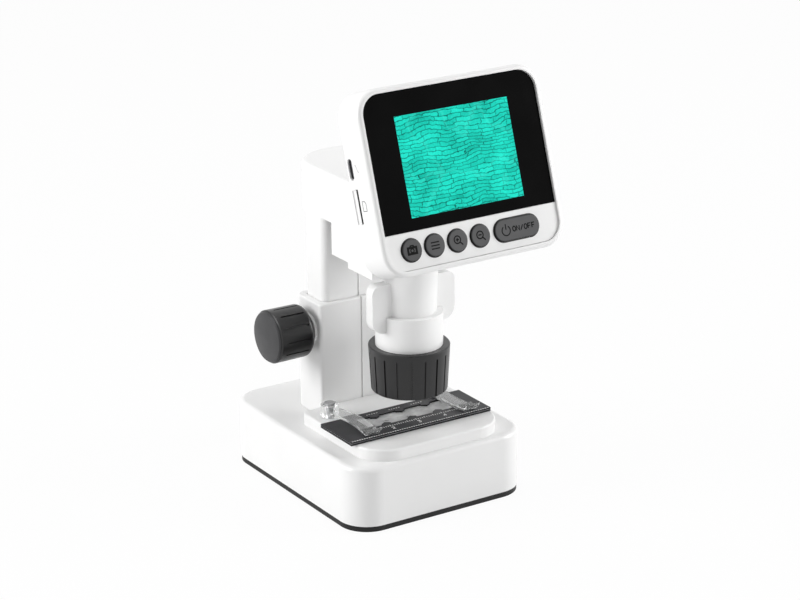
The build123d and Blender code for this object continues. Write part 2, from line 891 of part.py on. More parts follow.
# a low dome, cut from a ball that passes through the cap's rim and its middle
dome_reach = knob_cap_rim + knob_cap_dome
dome_radius = (knob_cap_radius**2 + knob_cap_dome**2) / (2 * knob_cap_dome)
with BuildPart() as knob_cap:
    with BuildSketch(across(knob_grip_x, shaft_y, shaft_z)):
        Circle(knob_cap_radius)
    extrude(amount=-dome_reach)
    with Locations((knob_grip_x - dome_reach + dome_radius, shaft_y, shaft_z)):
        Sphere(dome_radius, mode=Mode.INTERSECT)
    chamfer(knob_cap.edges().filter_by(GeomType.CIRCLE).sort_by(Axis.X)[0], knob_chamfer)

# ---------------------------------------------------------------- carriage mouldings
post_mid = post_front + post_depth / 2
beam_mid = (arm_back + arm_front) / 2
beam_depth = arm_back - arm_front
block_mid = (block_back + housing_back) / 2
block_depth = block_back - housing_back
slot_bottom = shaft_z - travel_up - shaft_radius - slot_margin
slot_top = shaft_z + travel_down + shaft_radius + slot_margin
housing_screw_places = [
    (side * housing_screw_x, y) for side in (-1, 1) for y in (housing_screw_back, housing_screw_front)
]


def beam_outline(inset=0.0):
    """Plan of the arm: square where it meets the head, round corners behind."""
    two_corner_outline(
        arm_width - 2 * inset, beam_depth - 2 * inset, 0, arm_back_corner - inset, y=beam_mid
    )


with BuildPart() as beam_hollow:
    with BuildSketch(level(beam_bottom + arm_wall)):
        beam_outline(arm_wall)
    extrude(amount=arm_top - beam_bottom - 2 * arm_wall)
    split(bisect_by=head_plane.offset(-head_depth - arm_wall), keep=Keep.BOTTOM)

with BuildPart() as carriage:
    with BuildSketch(level(beam_bottom)):
        beam_outline()
    extrude(amount=arm_top - beam_bottom)
    split(bisect_by=head_plane.offset(-head_depth), keep=Keep.BOTTOM)
    fillet(carriage.faces().sort_by(Axis.Z)[-1].edges().sort_by(Axis.Y)[1:], arm_edge)
    with BuildSketch(level(block_bottom)):
        with Locations((0, block_mid)):
            Rectangle(arm_width, block_depth)
    extrude(amount=beam_bottom - block_bottom + arm_wall)
    with BuildSketch(level(post_bottom)):
        outline(post_width, post_depth, post_corner, y=post_mid)
    extrude(amount=beam_bottom - post_bottom + arm_wall)
    # hollow the beam, the block and the post
    add(beam_hollow.part, mode=Mode.SUBTRACT)
    with BuildSketch(level(block_bottom + arm_wall)):
        with Locations((0, block_mid)):
            Rectangle(arm_width - 2 * arm_wall, block_depth - 2 * arm_wall)
    extrude(amount=beam_bottom - block_bottom, mode=Mode.SUBTRACT)
    with BuildSketch(level(post_bottom)):
        outline(post_width - 2 * post_wall, post_depth - 2 * post_wall, post_corner / 2, y=post_mid)
    extrude(amount=beam_bottom - post_bottom + arm_wall, mode=Mode.SUBTRACT)
    # the shaft passes through a long slot in each side of the post
    with BuildSketch(across(-post_width, shaft_y, (slot_bottom + slot_top) / 2)):
        Rectangle(2 * (shaft_radius + slot_margin), slot_top - slot_bottom)
    extrude(amount=2 * post_width, mode=Mode.SUBTRACT)
    # sunk holes behind the post for the rack's two screws
    for z in rack_screw_heights:
        with BuildSketch(backward(pinion_x, post_back, z)):
            Circle(fine_screw_head + touch_gap)
        extrude(amount=-rack_screw_sink, mode=Mode.SUBTRACT)
        with BuildSketch(backward(pinion_x, post_back, z)):
            Circle(fine_screw_clearance)
        extrude(amount=-post_wall, mode=Mode.SUBTRACT)
    # seam groove down the front of the post
    with BuildSketch(level(post_bottom)):
        with Locations((seam_x, post_front)):
            Rectangle(seam_groove, 2 * seam_groove)
    extrude(amount=beam_bottom - post_bottom, mode=Mode.SUBTRACT)
    # bosses for the screws that come from the head and from the camera housing
    arm_boss_planes = [in_head(u, v, -head_depth, -1) for u, v in arm_screw_places]
    rods(arm_boss_planes, boss_radius, arm_wall + arm_screw_bite)
    rods(arm_boss_planes, screw_bore, arm_wall + arm_screw_bite, Mode.SUBTRACT)
    housing_boss_top = beam_bottom + arm_wall + housing_screw_bite
    upright_posts(housing_screw_places, fine_boss_radius, beam_bottom, housing_boss_top)
    upright_holes(housing_screw_places, fine_screw_bore, beam_bottom, housing_boss_top)
    # openings for the camera's cable, down into the housing and forward into the head
    with BuildSketch(level(beam_bottom)):
        with Locations(optic):
            Rectangle(cable_way, cable_height)
    extrude(amount=arm_wall, mode=Mode.SUBTRACT)
    with BuildSketch(in_head(0, cable_v, -head_depth)):
        Rectangle(cable_way, cable_height)
    extrude(amount=-arm_wall, mode=Mode.SUBTRACT)

arm_left_shell = half_of(carriage, Keep.BOTTOM)
arm_right_shell = half_of(carriage, Keep.TOP)

# ---------------------------------------------------------------- camera housing
housing_mid = (housing_back + housing_front) / 2
housing_depth = housing_back - housing_front
nose_bore = nose_low_radius - nose_wall
with BuildPart() as camera_housing:
    with BuildSketch(level(housing_bottom)):
        with Locations((0, housing_mid)):
            Rectangle(arm_width, housing_depth)
    extrude(amount=beam_bottom - housing_bottom)
    with BuildSketch(level(housing_bottom + arm_wall)):
        with Locations((0, housing_mid)):
            Rectangle(arm_width - 2 * arm_wall, housing_depth - 2 * arm_wall)
    extrude(amount=beam_bottom - housing_bottom, mode=Mode.SUBTRACT)
    with BuildSketch(upright(housing_front + wing_thickness)):
        two_corner_outline(
            arm_width,
            wing_top - wing_bottom,
            wing_low_corner,
            wing_high_corner,
            y=(wing_top + wing_bottom) / 2,
        )
    extrude(amount=wing_thickness)
    with BuildSketch(level(nose_bottom, 0, optic_y)):
        Circle(nose_low_radius)
    with BuildSketch(level(beam_bottom, 0, optic_y)):
        Circle(nose_top_radius)
    loft()
    # the barrel passes up between the wings
    upright_holes([optic], tube_radius + touch_gap, wing_bottom, nose_bottom)
    # socket for the barrel's spigot, light path, and the camera board's seat
    upright_holes([optic], nose_bore, nose_bottom, nose_bottom + spigot_length + end_play)
    upright_holes([optic], tube_throat, nose_bottom, board_seat)
    upright_holes([optic], nose_bore, board_seat, beam_bottom)
    # a deep sunk hole in each corner for the screws up into the arm
    upright_posts(housing_screw_places, fine_boss_radius, housing_bottom, beam_bottom)
    upright_holes(
        housing_screw_places, fine_screw_head + touch_gap, housing_bottom, housing_screw_seat
    )
    upright_holes(housing_screw_places, fine_screw_clearance, housing_screw_seat, beam_bottom)

housing_screws = screws(
    [downward(x, y, housing_screw_seat) for x, y in housing_screw_places],
    fine_screw_head,
    fine_screw_head_height,
    fine_screw_shank,
    beam_bottom - housing_screw_seat + arm_wall + housing_screw_bite - end_play,
)

with BuildPart() as lens_tube:
    upright_posts([optic], tube_low_radius, tube_bottom, tube_step)
    upright_posts([optic], tube_radius, tube_step, nose_bottom)
    upright_posts([optic], nose_bore - press_gap, nose_bottom, nose_bottom + spigot_length)
    upright_holes([optic], tube_throat, throat_z, nose_bottom + spigot_length)
    upright_holes([optic], tube_bore, tube_bottom, throat_z)
    # upright slot for the lens cell's key, in the back of the tube
    with BuildSketch(upright(optic_y + tube_radius)):
        with Locations((0, key_z)):
            SlotOverall(2 * key_run, 2 * (key_radius + touch_gap), rotation=90)
    extrude(amount=tube_radius, mode=Mode.SUBTRACT)

with BuildPart() as ring_retainer:
    upright_posts([optic], retainer_radius, retainer_bottom, retainer_top)
    upright_holes([optic], retainer_bore, retainer_bottom, retainer_top)
    chamfer(ring_retainer.faces().sort_by(Axis.Z)[0].edges(), retainer_chamfer)

ring_board_bore = lens_bore + touch_gap
with BuildPart() as ring_light_board:
    upright_posts([optic], tube_bore - touch_gap, retainer_top, retainer_top + board_disc)
    upright_holes([optic], ring_board_bore, retainer_top, retainer_top + board_disc)

with BuildPart() as ring_leds:
    with BuildSketch(level(retainer_top, 0, optic_y)):
        with PolarLocations((retainer_bore + ring_board_bore) / 2, ring_led_count):
            Rectangle(ring_led, ring_led)
    extrude(amount=-ring_led_height)

with BuildPart() as camera_board:
    upright_posts([optic], nose_bore - touch_gap, board_seat, board_seat + board_disc)

with BuildPart() as image_sensor:
    with BuildSketch(level(board_seat, 0, optic_y)):
        Rectangle(sensor_side, sensor_side)
    extrude(amount=-sensor_depth)

# ---------------------------------------------------------------- focus ring and lens cell
with BuildPart() as focus_ring:
    with BuildSketch(level(ring_bottom, 0, optic_y)):
        Circle(ring_low_radius)
    with BuildSketch(level(ring_top, 0, optic_y)):
        Circle(ring_top_radius)
    loft()
    chamfer(focus_ring.faces().sort_by(Axis.Z)[-1].edges(), ring_chamfer)
    fillet(focus_ring.faces().sort_by(Axis.Z)[0].edges(), ring_round)
    # the grooves stop below a plain band at the top and run out at the bottom
    with Locations((0, optic_y, (ring_top + ring_bottom) / 2 - ring_band)):
        flutes(
            ring_groove_count,
            (ring_top_radius + ring_low_radius) / 2 - ring_band * ring_taper,
            degrees(atan(ring_taper)),
            ring_groove_width,
            ring_groove_depth,
            ring_height,
        )
    upright_holes([optic], tube_low_radius + running_gap, ring_bottom, ring_top)
    upright_holes([optic], retainer_radius + touch_gap, ring_bottom, retainer_top + end_play)
    upright_holes([optic], tube_radius + touch_gap, tube_step - end_play, ring_top)
    # relief inside, where the lens cell's key travels
    upright_holes([optic], tube_low_radius + key_reach + touch_gap, key_z - key_run, key_z + key_run)

lens_cell_top = lens_cell_bottom + lens_cell_length
with BuildPart() as lens_cell:
    upright_posts([optic], tube_bore - running_gap, lens_cell_bottom, lens_cell_top)
    upright_holes([optic], lens_bore - lens_lip, lens_cell_bottom, lens_cell_top)
    upright_holes([optic], lens_bore, lens_cell_bottom, lens_cell_bottom + lens_rebate)
    upright_holes([optic], lens_bore, lens_cell_top - lens_rebate, lens_cell_top)
    with BuildSketch(upright(optic_y + tube_low_radius + key_reach)):
        with Locations((0, key_z)):
            Circle(key_radius)
    extrude(amount=tube_low_radius + key_reach - (tube_bore + lens_bore) / 2)

with BuildPart() as lenses:
    for low in (lens_cell_bottom + lens_rebate - lens_thickness, lens_cell_top - lens_rebate):
        upright_posts([optic], lens_bore - press_gap, low, low + lens_thickness)

# ---------------------------------------------------------------- screen head
def head_outline(inset=0.0):
    """The head's outline, seen square to the glass."""
    with Locations((0, head_mid)):
        RectangleRounded(head_width - 2 * inset, head_height - 2 * inset, head_corner - inset)


def front_slab(inset, from_w, to_w):
    """The head's outline, drawn in by inset, between two planes parallel to the glass."""
    with BuildPart() as slab:
        with BuildSketch(head_plane.offset(from_w)):
            head_outline(inset)
        extrude(amount=to_w - from_w)
    return slab


def port_plane(v, w):
    """A plane that faces left, on the left side of the head, its x up the tilted front."""
    place = head_plane.from_local_coords((-head_width / 2, v, w))
    return Plane(origin=tuple(place), x_dir=tuple(head_plane.y_dir), z_dir=(-1, 0, 0))


board_back = -board_depth - board_thickness
board_right = head_width / 2 - board_right_gap
board_post_u = board_right - board_post_side
usb_plane = port_plane(usb_v, board_back - usb_drop - usb_height / 2)
card_plane = port_plane(card_v, board_back - card_height / 2)
front_pocket = front_slab(head_rim, panel_back, rim_proud)
with BuildPart() as head_rear_shell:
    with BuildSketch(head_plane.offset(-head_depth)):
        head_outline()
    extrude(amount=head_depth + rim_proud)
    fillet(head_rear_shell.faces().sort_by(head_axis)[-1].edges(), head_front_round)
    fillet(head_rear_shell.faces().sort_by(head_axis)[0].edges(), head_back_round)
    with BuildSketch(head_plane.offset(head_back_wall - head_depth)):
        head_outline(head_rim)
        with Locations(*head_screw_places):
            Circle(head_boss, mode=Mode.SUBTRACT)
    extrude(amount=head_depth, mode=Mode.SUBTRACT)
    add(front_pocket.part, mode=Mode.SUBTRACT)
    # sunk holes through the corner bosses, and plain ones for the screws into the arm
    bored_from_back(head_screw_places, fine_screw_clearance, head_depth)
    bored_from_back(head_screw_places, fine_screw_head + touch_gap, head_screw_sink)
    bored_from_back(arm_screw_places, screw_clearance, head_back_wall)
    with BuildSketch(in_head(0, cable_v, -head_depth)):
        Rectangle(cable_way, cable_height)
    extrude(amount=head_back_wall, mode=Mode.SUBTRACT)
    # the two ports in the left side, the lower one with a thumb scoop behind it
    with BuildSketch(usb_plane):
        SlotOverall(usb_width + 2 * touch_gap, usb_height + 2 * touch_gap)
    extrude(amount=-head_rim, mode=Mode.SUBTRACT)
    with BuildSketch(card_plane):
        Rectangle(card_width + 2 * touch_gap, card_height + 2 * touch_gap)
    extrude(amount=-head_rim, mode=Mode.SUBTRACT)
    with BuildSketch(card_plane):
        with Locations((0, card_scoop / 2)):
            Rectangle(card_width, card_scoop)
    extrude(amount=-card_scoop_depth, mode=Mode.SUBTRACT)

with BuildPart() as usb_socket:
    with BuildSketch(usb_plane.offset(-port_sink)):
        SlotOverall(usb_width, usb_height)
    extrude(amount=-usb_length)
    with BuildSketch(usb_plane.offset(-port_sink)):
        SlotOverall(usb_width - 2 * port_shell, usb_height - 2 * port_shell)
    extrude(amount=-(usb_length - port_end), mode=Mode.SUBTRACT)
    with BuildSketch(usb_plane.offset(-2 * port_sink)):
        Rectangle(usb_tongue_width, usb_tongue_thickness)
    extrude(amount=-(usb_length - port_end))

with BuildPart() as card_socket:
    with BuildSketch(card_plane.offset(-port_sink)):
        Rectangle(card_width, card_height)
    extrude(amount=-card_length)
    with BuildSketch(card_plane.offset(-port_sink)):
        Rectangle(card_width - 2 * card_side_wall, card_height - 2 * port_shell)
    extrude(amount=-(card_length - port_end), mode=Mode.SUBTRACT)

# front panel: full thickness below the glass, cut back behind it, open behind the display
panel_slab = front_slab(head_rim + touch_gap, panel_back, panel_proud)
glass_slab = front_slab(head_rim + touch_gap, -glass_thickness, 0.0)
button_first = button_margin - head_width / 2
button_places = [(button_first + k * button_pitch, button_v) for k in range(button_count)]
button_last = button_places[-1][0]
power_left = button_last + button_radius + power_gap
power_right = head_width / 2 - power_margin
power_u = (power_left + power_right) / 2
power_width = power_right - power_left
board_post_places = [
    (side * board_post_u, v) for side in (-1, 1) for v in (board_post_low, board_post_high)
]
lcd_width = head_width - 2 * (display_side - lcd_border)
lcd_height = display_height + 2 * lcd_border
with BuildPart() as front_panel:
    add(panel_slab.part)
    with BuildSketch(head_plane.offset(-glass_thickness)):
        with Locations((0, glass_low + head_height / 2)):
            Rectangle(head_width, head_height)
    extrude(amount=glass_thickness + panel_proud, mode=Mode.SUBTRACT)
    with BuildSketch(head_plane.offset(panel_back)):
        Rectangle(lcd_width + 2 * touch_gap, lcd_height + 2 * touch_gap)
    extrude(amount=panel_thickness, mode=Mode.SUBTRACT)
    with BuildSketch(head_plane.offset(panel_back)):
        with Locations(*button_places):
            Circle(button_radius + button_gap)
        with Locations((power_u, button_v)):
            SlotOverall(power_width + 2 * button_gap, 2 * (button_radius + button_gap))
    extrude(amount=panel_thickness, mode=Mode.SUBTRACT)
    # posts that carry the main board
    with BuildSketch(head_plane.offset(panel_back)):
        with Locations(*board_post_places):
            Circle(board_post_radius)
    extrude(amount=-(board_depth + panel_back))
    with BuildSketch(head_plane.offset(-board_depth)):
        with Locations(*board_post_places):
            Circle(fine_screw_bore)
    extrude(amount=board_screw_bite, mode=Mode.SUBTRACT)
    # blind holes for the screws that come from the head's back
    head_bite_planes = [in_head(u, v, panel_back) for u, v in head_screw_places]
    rods(head_bite_planes, fine_screw_bore, head_screw_bite, Mode.SUBTRACT)

with BuildPart() as screen_glass:
    add(glass_slab.part)
    with BuildSketch(head_plane.offset(-glass_thickness)):
        with Locations((0, glass_low + touch_gap - head_height / 2)):
            Rectangle(head_width, head_height)
    extrude(amount=2 * glass_thickness, mode=Mode.SUBTRACT)

with BuildPart() as lcd_module:
    with BuildSketch(head_plane.offset(-glass_thickness)):
        Rectangle(lcd_width, lcd_height)
    extrude(amount=-lcd_thickness)

board_left = -head_width / 2 + head_rim + board_left_gap
with BuildPart() as main_board:
    with BuildSketch(head_plane.offset(-board_depth)):
        with Locations(((board_left + board_right) / 2, (board_top + board_neck) / 2)):
            Rectangle(board_right - board_left, board_top - board_neck)
        with Locations((0, (board_neck + board_low) / 2)):
            Rectangle(2 * board_right, board_neck - board_low)
        with Locations(*board_post_places):
            Circle(fine_screw_clearance, mode=Mode.SUBTRACT)
    extrude(amount=-board_thickness)
    # the processor, its memory and two smaller chips
    with BuildSketch(head_plane.offset(-board_depth)):
        with Locations(*big_chips):
            Rectangle(chip_side, chip_side)
        with Locations(*small_chips):
            Rectangle(chip_side / 2, chip_side / 2)
    extrude(amount=chip_height)

board_screws = screws(
    [in_head(u, v, board_back, -1) for u, v in board_post_places],
    fine_screw_head,
    fine_screw_head_height,
    fine_screw_shank,
    board_thickness + board_screw_bite - end_play,
)

with BuildPart() as battery_pack:
    with BuildSketch(head_plane.offset(board_back - pack_gap)):
        outline(pack_width, pack_height, pack_corner, pack_u, pack_v)
    extrude(amount=-pack_thickness)

button_back = panel_back - end_play
membrane_front = button_back - button_flange - button_travel - dome_switch_gap
power_domes = [(power_u + side * power_width / 4, button_v) for side in (-1, 1)]
with BuildPart() as key_membrane:
    with BuildSketch(head_plane.offset(-board_depth)):
        with Locations((0, button_v)):
            Rectangle(head_width - 2 * membrane_side, membrane_height)
    extrude(amount=membrane_thickness)
    with BuildSketch(head_plane.offset(-board_depth)):
        with Locations(*button_places, *power_domes):
            Circle(dome_switch_radius)
    extrude(amount=board_depth + membrane_front)

head_screws = screws(
    [in_head(u, v, head_screw_sink - head_depth, -1) for u, v in head_screw_places],
    fine_screw_head,
    fine_screw_head_height,
    fine_screw_shank,
    head_depth - head_screw_sink + panel_back + head_screw_bite - end_play,
)

# screws from inside the head, through its back, into the arm
arm_screws = screws(
    [in_head(u, v, head_back_wall - head_depth) for u, v in arm_screw_places],
    screw_head,
    screw_head_height,
    screw_shank,
    head_back_wall + arm_wall + arm_screw_bite - end_play,
)


# ---------------------------------------------------------------- buttons
def round_button(u):
    """A round cap and its flange."""
    with BuildPart() as button:
        with BuildSketch(head_plane.offset(button_back)):
            with Locations((u, button_v)):
                Circle(button_radius)
        extrude(amount=button_proud - button_back)
        fillet(button.faces().sort_by(head_axis)[-1].edges(), button_round)
        with BuildSketch(head_plane.offset(button_back)):
            with Locations((u, button_v)):
                Circle(button_radius + button_brim)
        extrude(amount=-button_flange)
    return button


button_names = ["photo_button", "menu_button", "zoom_in_button", "zoom_out_button"]
buttons = {name: round_button(u) for name, (u, v) in zip(button_names, button_places)}

with BuildPart() as power_button:
    with BuildSketch(head_plane.offset(button_back)):
        with Locations((power_u, button_v)):
            SlotOverall(power_width, 2 * button_radius)
    extrude(amount=button_proud - button_back)
    fillet(power_button.faces().sort_by(head_axis)[-1].edges(), button_round)
    with BuildSketch(head_plane.offset(button_back)):
        with Locations((power_u, button_v)):
            SlotOverall(power_width + 2 * button_brim, 2 * (button_radius + button_brim))
    extrude(amount=-button_flange)

# ---------------------------------------------------------------- clips and specimen slide
clip_z = slide_top + clip_gap
collar_z = stage_top + clip_gap
collar_top = collar_z + clip_collar_height
with BuildPart() as clip_posts:
    post_foot = stage_top - clip_post_bite + end_play
    upright_posts(clip_places, clip_post_radius - press_gap, post_foot, collar_top + end_play)
    post_head_top = collar_top + end_play + clip_post_head_height
    upright_posts(clip_places, clip_post_head, collar_top + end_play, post_head_top)


def stage_clip(side):
    """A springy clear arm that bows inwards from its pivot and ends in a turned-up toe."""
    toe_x = side * (clip_x - clip_toe_shift)
    toe_y = clip_y - clip_reach
    with BuildPart() as clip:
        with BuildSketch(level(clip_z)):
            with BuildLine():
                ThreePointArc(
                    (side * clip_x, clip_y),
                    (side * (clip_x - clip_bow), (clip_y + toe_y) / 2),
                    (toe_x, toe_y),
                )
            trace(line_width=clip_width)
        extrude(amount=clip_thickness)
        with BuildSketch(across(toe_x - clip_width / 2, toe_y, clip_z)):
            Rectangle(
                clip_toe, clip_thickness, rotation=-clip_toe_angle, align=(Align.MAX, Align.MIN)
            )
        extrude(amount=clip_width)
        upright_posts([(side * clip_x, clip_y)], clip_collar_radius, collar_z, collar_top)
        upright_holes([(side * clip_x, clip_y)], clip_post_radius + running_gap, collar_z, collar_top)
    return clip


stage_clip_left = stage_clip(-1)
stage_clip_right = stage_clip(1)

tab_edge = slot_width / 2 + tab_root


def slide_frame(z):
    """One black layer of the slide: a long slot with pointed tabs on both sides."""
    with BuildPart() as frame:
        with BuildSketch(level(z, slide_x, slide_y)):
            Rectangle(slide_length, slide_width)
            with Locations((-slide_x, slot_shift)):
                Rectangle(slot_length, slot_width, mode=Mode.SUBTRACT)
            for side in (-1, 1):
                with Locations(*[(step * tab_pitch - slide_x, slot_shift) for step in (-1, 0, 1)]):
                    Polygon(
                        (-tab_width / 2, side * tab_edge),
                        (-tab_width / 2, side * (tab_edge - tab_height / 2)),
                        (0, side * (tab_edge - tab_height)),
                        (tab_width / 2, side * (tab_edge - tab_height / 2)),
                        (tab_width / 2, side * tab_edge),
                        align=None,
                    )
        extrude(amount=frame_layer)
    return frame


slide_lower_frame = slide_frame(stage_top)
slide_upper_frame = slide_frame(stage_top + frame_layer + film_layer)

with BuildPart() as slide_film:
    with BuildSketch(level(stage_top + frame_layer, slide_x, slide_y)):
        Rectangle(slide_length - 2 * film_inset, slide_width - 2 * film_inset)
    extrude(amount=film_layer)

# ---------------------------------------------------------------- write one file for each piece
pieces = {
    "base_shell": base_shell,
    "foot_plate": foot_plate,
    "battery_door": battery_door,
    "battery_cells": battery_cells,
    "battery_contacts": battery_contacts,
    "ballast_plate": ballast_plate,
    "base_screws": base_screws,
    "column_screws": column_screws,
    "stage_diffuser": stage_diffuser,
    "light_board": light_board,
    "switch_body": switch_body,
    "light_switch": light_switch,
    "column_left_shell": column_left_shell,
    "column_right_shell": column_right_shell,
    "shaft_bushes": shaft_bushes,
    "shaft_cap": shaft_cap,
    "clip_posts": clip_posts,
    "focus_shaft": focus_shaft,
    "shaft_clip": shaft_clip,
    "drive_pinion": drive_pinion,
    "focus_knob": focus_knob,
    "knob_cap": knob_cap,
    "focus_rack": focus_rack,
    "rack_screws": rack_screws,
    "arm_left_shell": arm_left_shell,
    "arm_right_shell": arm_right_shell,
    "camera_housing": camera_housing,
    "housing_screws": housing_screws,
    "lens_tube": lens_tube,
    "ring_retainer": ring_retainer,
    "ring_light_board": ring_light_board,
    "ring_leds": ring_leds,
    "camera_board": camera_board,
    "image_sensor": image_sensor,
    "focus_ring": focus_ring,
    "lens_cell": lens_cell,
    "lenses": lenses,
    "head_rear_shell": head_rear_shell,
    "front_panel": front_panel,
    "screen_glass": screen_glass,
    "lcd_module": lcd_module,
    "main_board": main_board,
    "board_screws": board_screws,
    "battery_pack": battery_pack,
    "key_membrane": key_membrane,
    "usb_socket": usb_socket,
    "card_socket": card_socket,
    "head_screws": head_screws,
    "arm_screws": arm_screws,
    **buttons,
    "power_button": power_button,
    "stage_clip_left": stage_clip_left,
    "stage_clip_right": stage_clip_right,
    "slide_lower_frame": slide_lower_frame,
    "slide_upper_frame": slide_upper_frame,
    "slide_film": slide_film,
}
for name, piece in pieces.items():
    piece.part.label = name
    export_step(piece.part, f"parts/{name}.step")
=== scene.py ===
import json
import math

import bpy
import numpy as np
from mathutils import Matrix


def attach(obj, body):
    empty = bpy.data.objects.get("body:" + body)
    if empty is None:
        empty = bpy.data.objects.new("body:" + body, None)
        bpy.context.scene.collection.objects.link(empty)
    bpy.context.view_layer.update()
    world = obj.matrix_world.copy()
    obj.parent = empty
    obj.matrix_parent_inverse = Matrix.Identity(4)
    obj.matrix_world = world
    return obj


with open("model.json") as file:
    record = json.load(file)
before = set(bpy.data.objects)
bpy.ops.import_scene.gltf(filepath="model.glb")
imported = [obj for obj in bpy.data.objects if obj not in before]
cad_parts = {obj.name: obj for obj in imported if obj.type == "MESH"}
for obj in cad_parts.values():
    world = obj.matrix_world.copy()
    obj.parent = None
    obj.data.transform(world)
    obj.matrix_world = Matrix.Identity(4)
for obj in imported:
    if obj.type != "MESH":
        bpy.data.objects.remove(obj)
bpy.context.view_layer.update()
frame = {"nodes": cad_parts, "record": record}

MM = 0.001

# ---------------------------------------------------------------- places, in millimetres
TILT = math.radians(18.4)
SCREEN_MIDDLE = np.array([0.0, -68.2, 169.8])
HEAD_RIGHT = np.array([1.0, 0.0, 0.0])
HEAD_UP = np.array([0.0, math.sin(TILT), math.cos(TILT)])
HEAD_OUT = np.array([0.0, -math.cos(TILT), math.sin(TILT)])
HEAD_SIDE = -46.5         # the head's left side
DISPLAY_WIDTH = 57.6
DISPLAY_HEIGHT = 43.2
CAP_TOP = 1.2             # the key caps' faces, in front of the glass
CAP_EDGE = 0.88           # where the rounding of those faces begins, and the painted shade below it
PANEL_FACE = 0.3          # the white panel round the keys
KEY_RADIUS = 4.75
KEY_GAP = 0.27            # from a key's side to the middle of the gap round it
POWER_REACH = 6.8         # from the power key's middle to the centres of its ends
BUTTON_V = -34.6
BUTTON_U = {
    "photo_button": -32.1,
    "menu_button": -20.5,
    "zoom_in_button": -8.9,
    "zoom_out_button": 2.7,
}
POWER_U = 21.7
SHAFT_Y = 17.7            # the focus shaft, which the knob's disc is turned about
SHAFT_Z = 71.2
SLIDE_X = -1.3            # the specimen slide's middle
SLIDE_Y = -27.3
SLIDE_TOP = 37.8
CLIP_TOE_X = 26.6         # the toe of the right clip
CLIP_TOE_Y = -37.9
CLIP_TOP = 39.3
INK = 0.04                # how far print stands off its surface

# ---------------------------------------------------------------- camera
AZIMUTH = math.radians(32.25)
ELEVATION = math.radians(19.21)
ROLL = math.radians(-0.58)
DISTANCE = 1178.7
AIM = np.array([0.0, 0.0, 95.0])
FOCAL_PIXELS = 2592.35
FRAME_WIDTH = 800
FRAME_HEIGHT = 600
CENTRE_PIXEL = (375.21, 279.39)
SENSOR = 36.0
NEAREST_SEEN = 0.05       # in metres

forward = np.array(
    [
        math.sin(AZIMUTH) * math.cos(ELEVATION),
        math.cos(AZIMUTH) * math.cos(ELEVATION),
        -math.sin(ELEVATION),
    ]
)
level_right = np.array([math.cos(AZIMUTH), -math.sin(AZIMUTH), 0.0])
level_up = np.cross(level_right, forward)
right = math.cos(ROLL) * level_right + math.sin(ROLL) * level_up
up = -math.sin(ROLL) * level_right + math.cos(ROLL) * level_up
eye = (AIM - forward * DISTANCE) * MM


def placed(across, upward, backward, origin):
    """The matrix of an object whose own three axes and origin are given."""
    rows = [(across[i], upward[i], backward[i], origin[i]) for i in range(3)]
    return Matrix([*rows, (0.0, 0.0, 0.0, 1.0)])


lens = bpy.data.cameras.new("camera")
lens.sensor_width = SENSOR
lens.lens = FOCAL_PIXELS / FRAME_WIDTH * SENSOR
lens.shift_x = (FRAME_WIDTH / 2 - CENTRE_PIXEL[0]) / FRAME_WIDTH
lens.shift_y = (CENTRE_PIXEL[1] - FRAME_HEIGHT / 2) / FRAME_WIDTH
lens.clip_start = NEAREST_SEEN
camera = bpy.data.objects.new("camera", lens)
camera.matrix_world = placed(right, up, -forward, eye)
bpy.context.scene.collection.objects.link(camera)
bpy.context.scene.camera = camera
bpy.context.scene.view_settings.view_transform = "Standard"

# ---------------------------------------------------------------- node helpers
NOISE_LOW = 0.3           # most of a noise's values lie between these two
NOISE_HIGH = 0.7


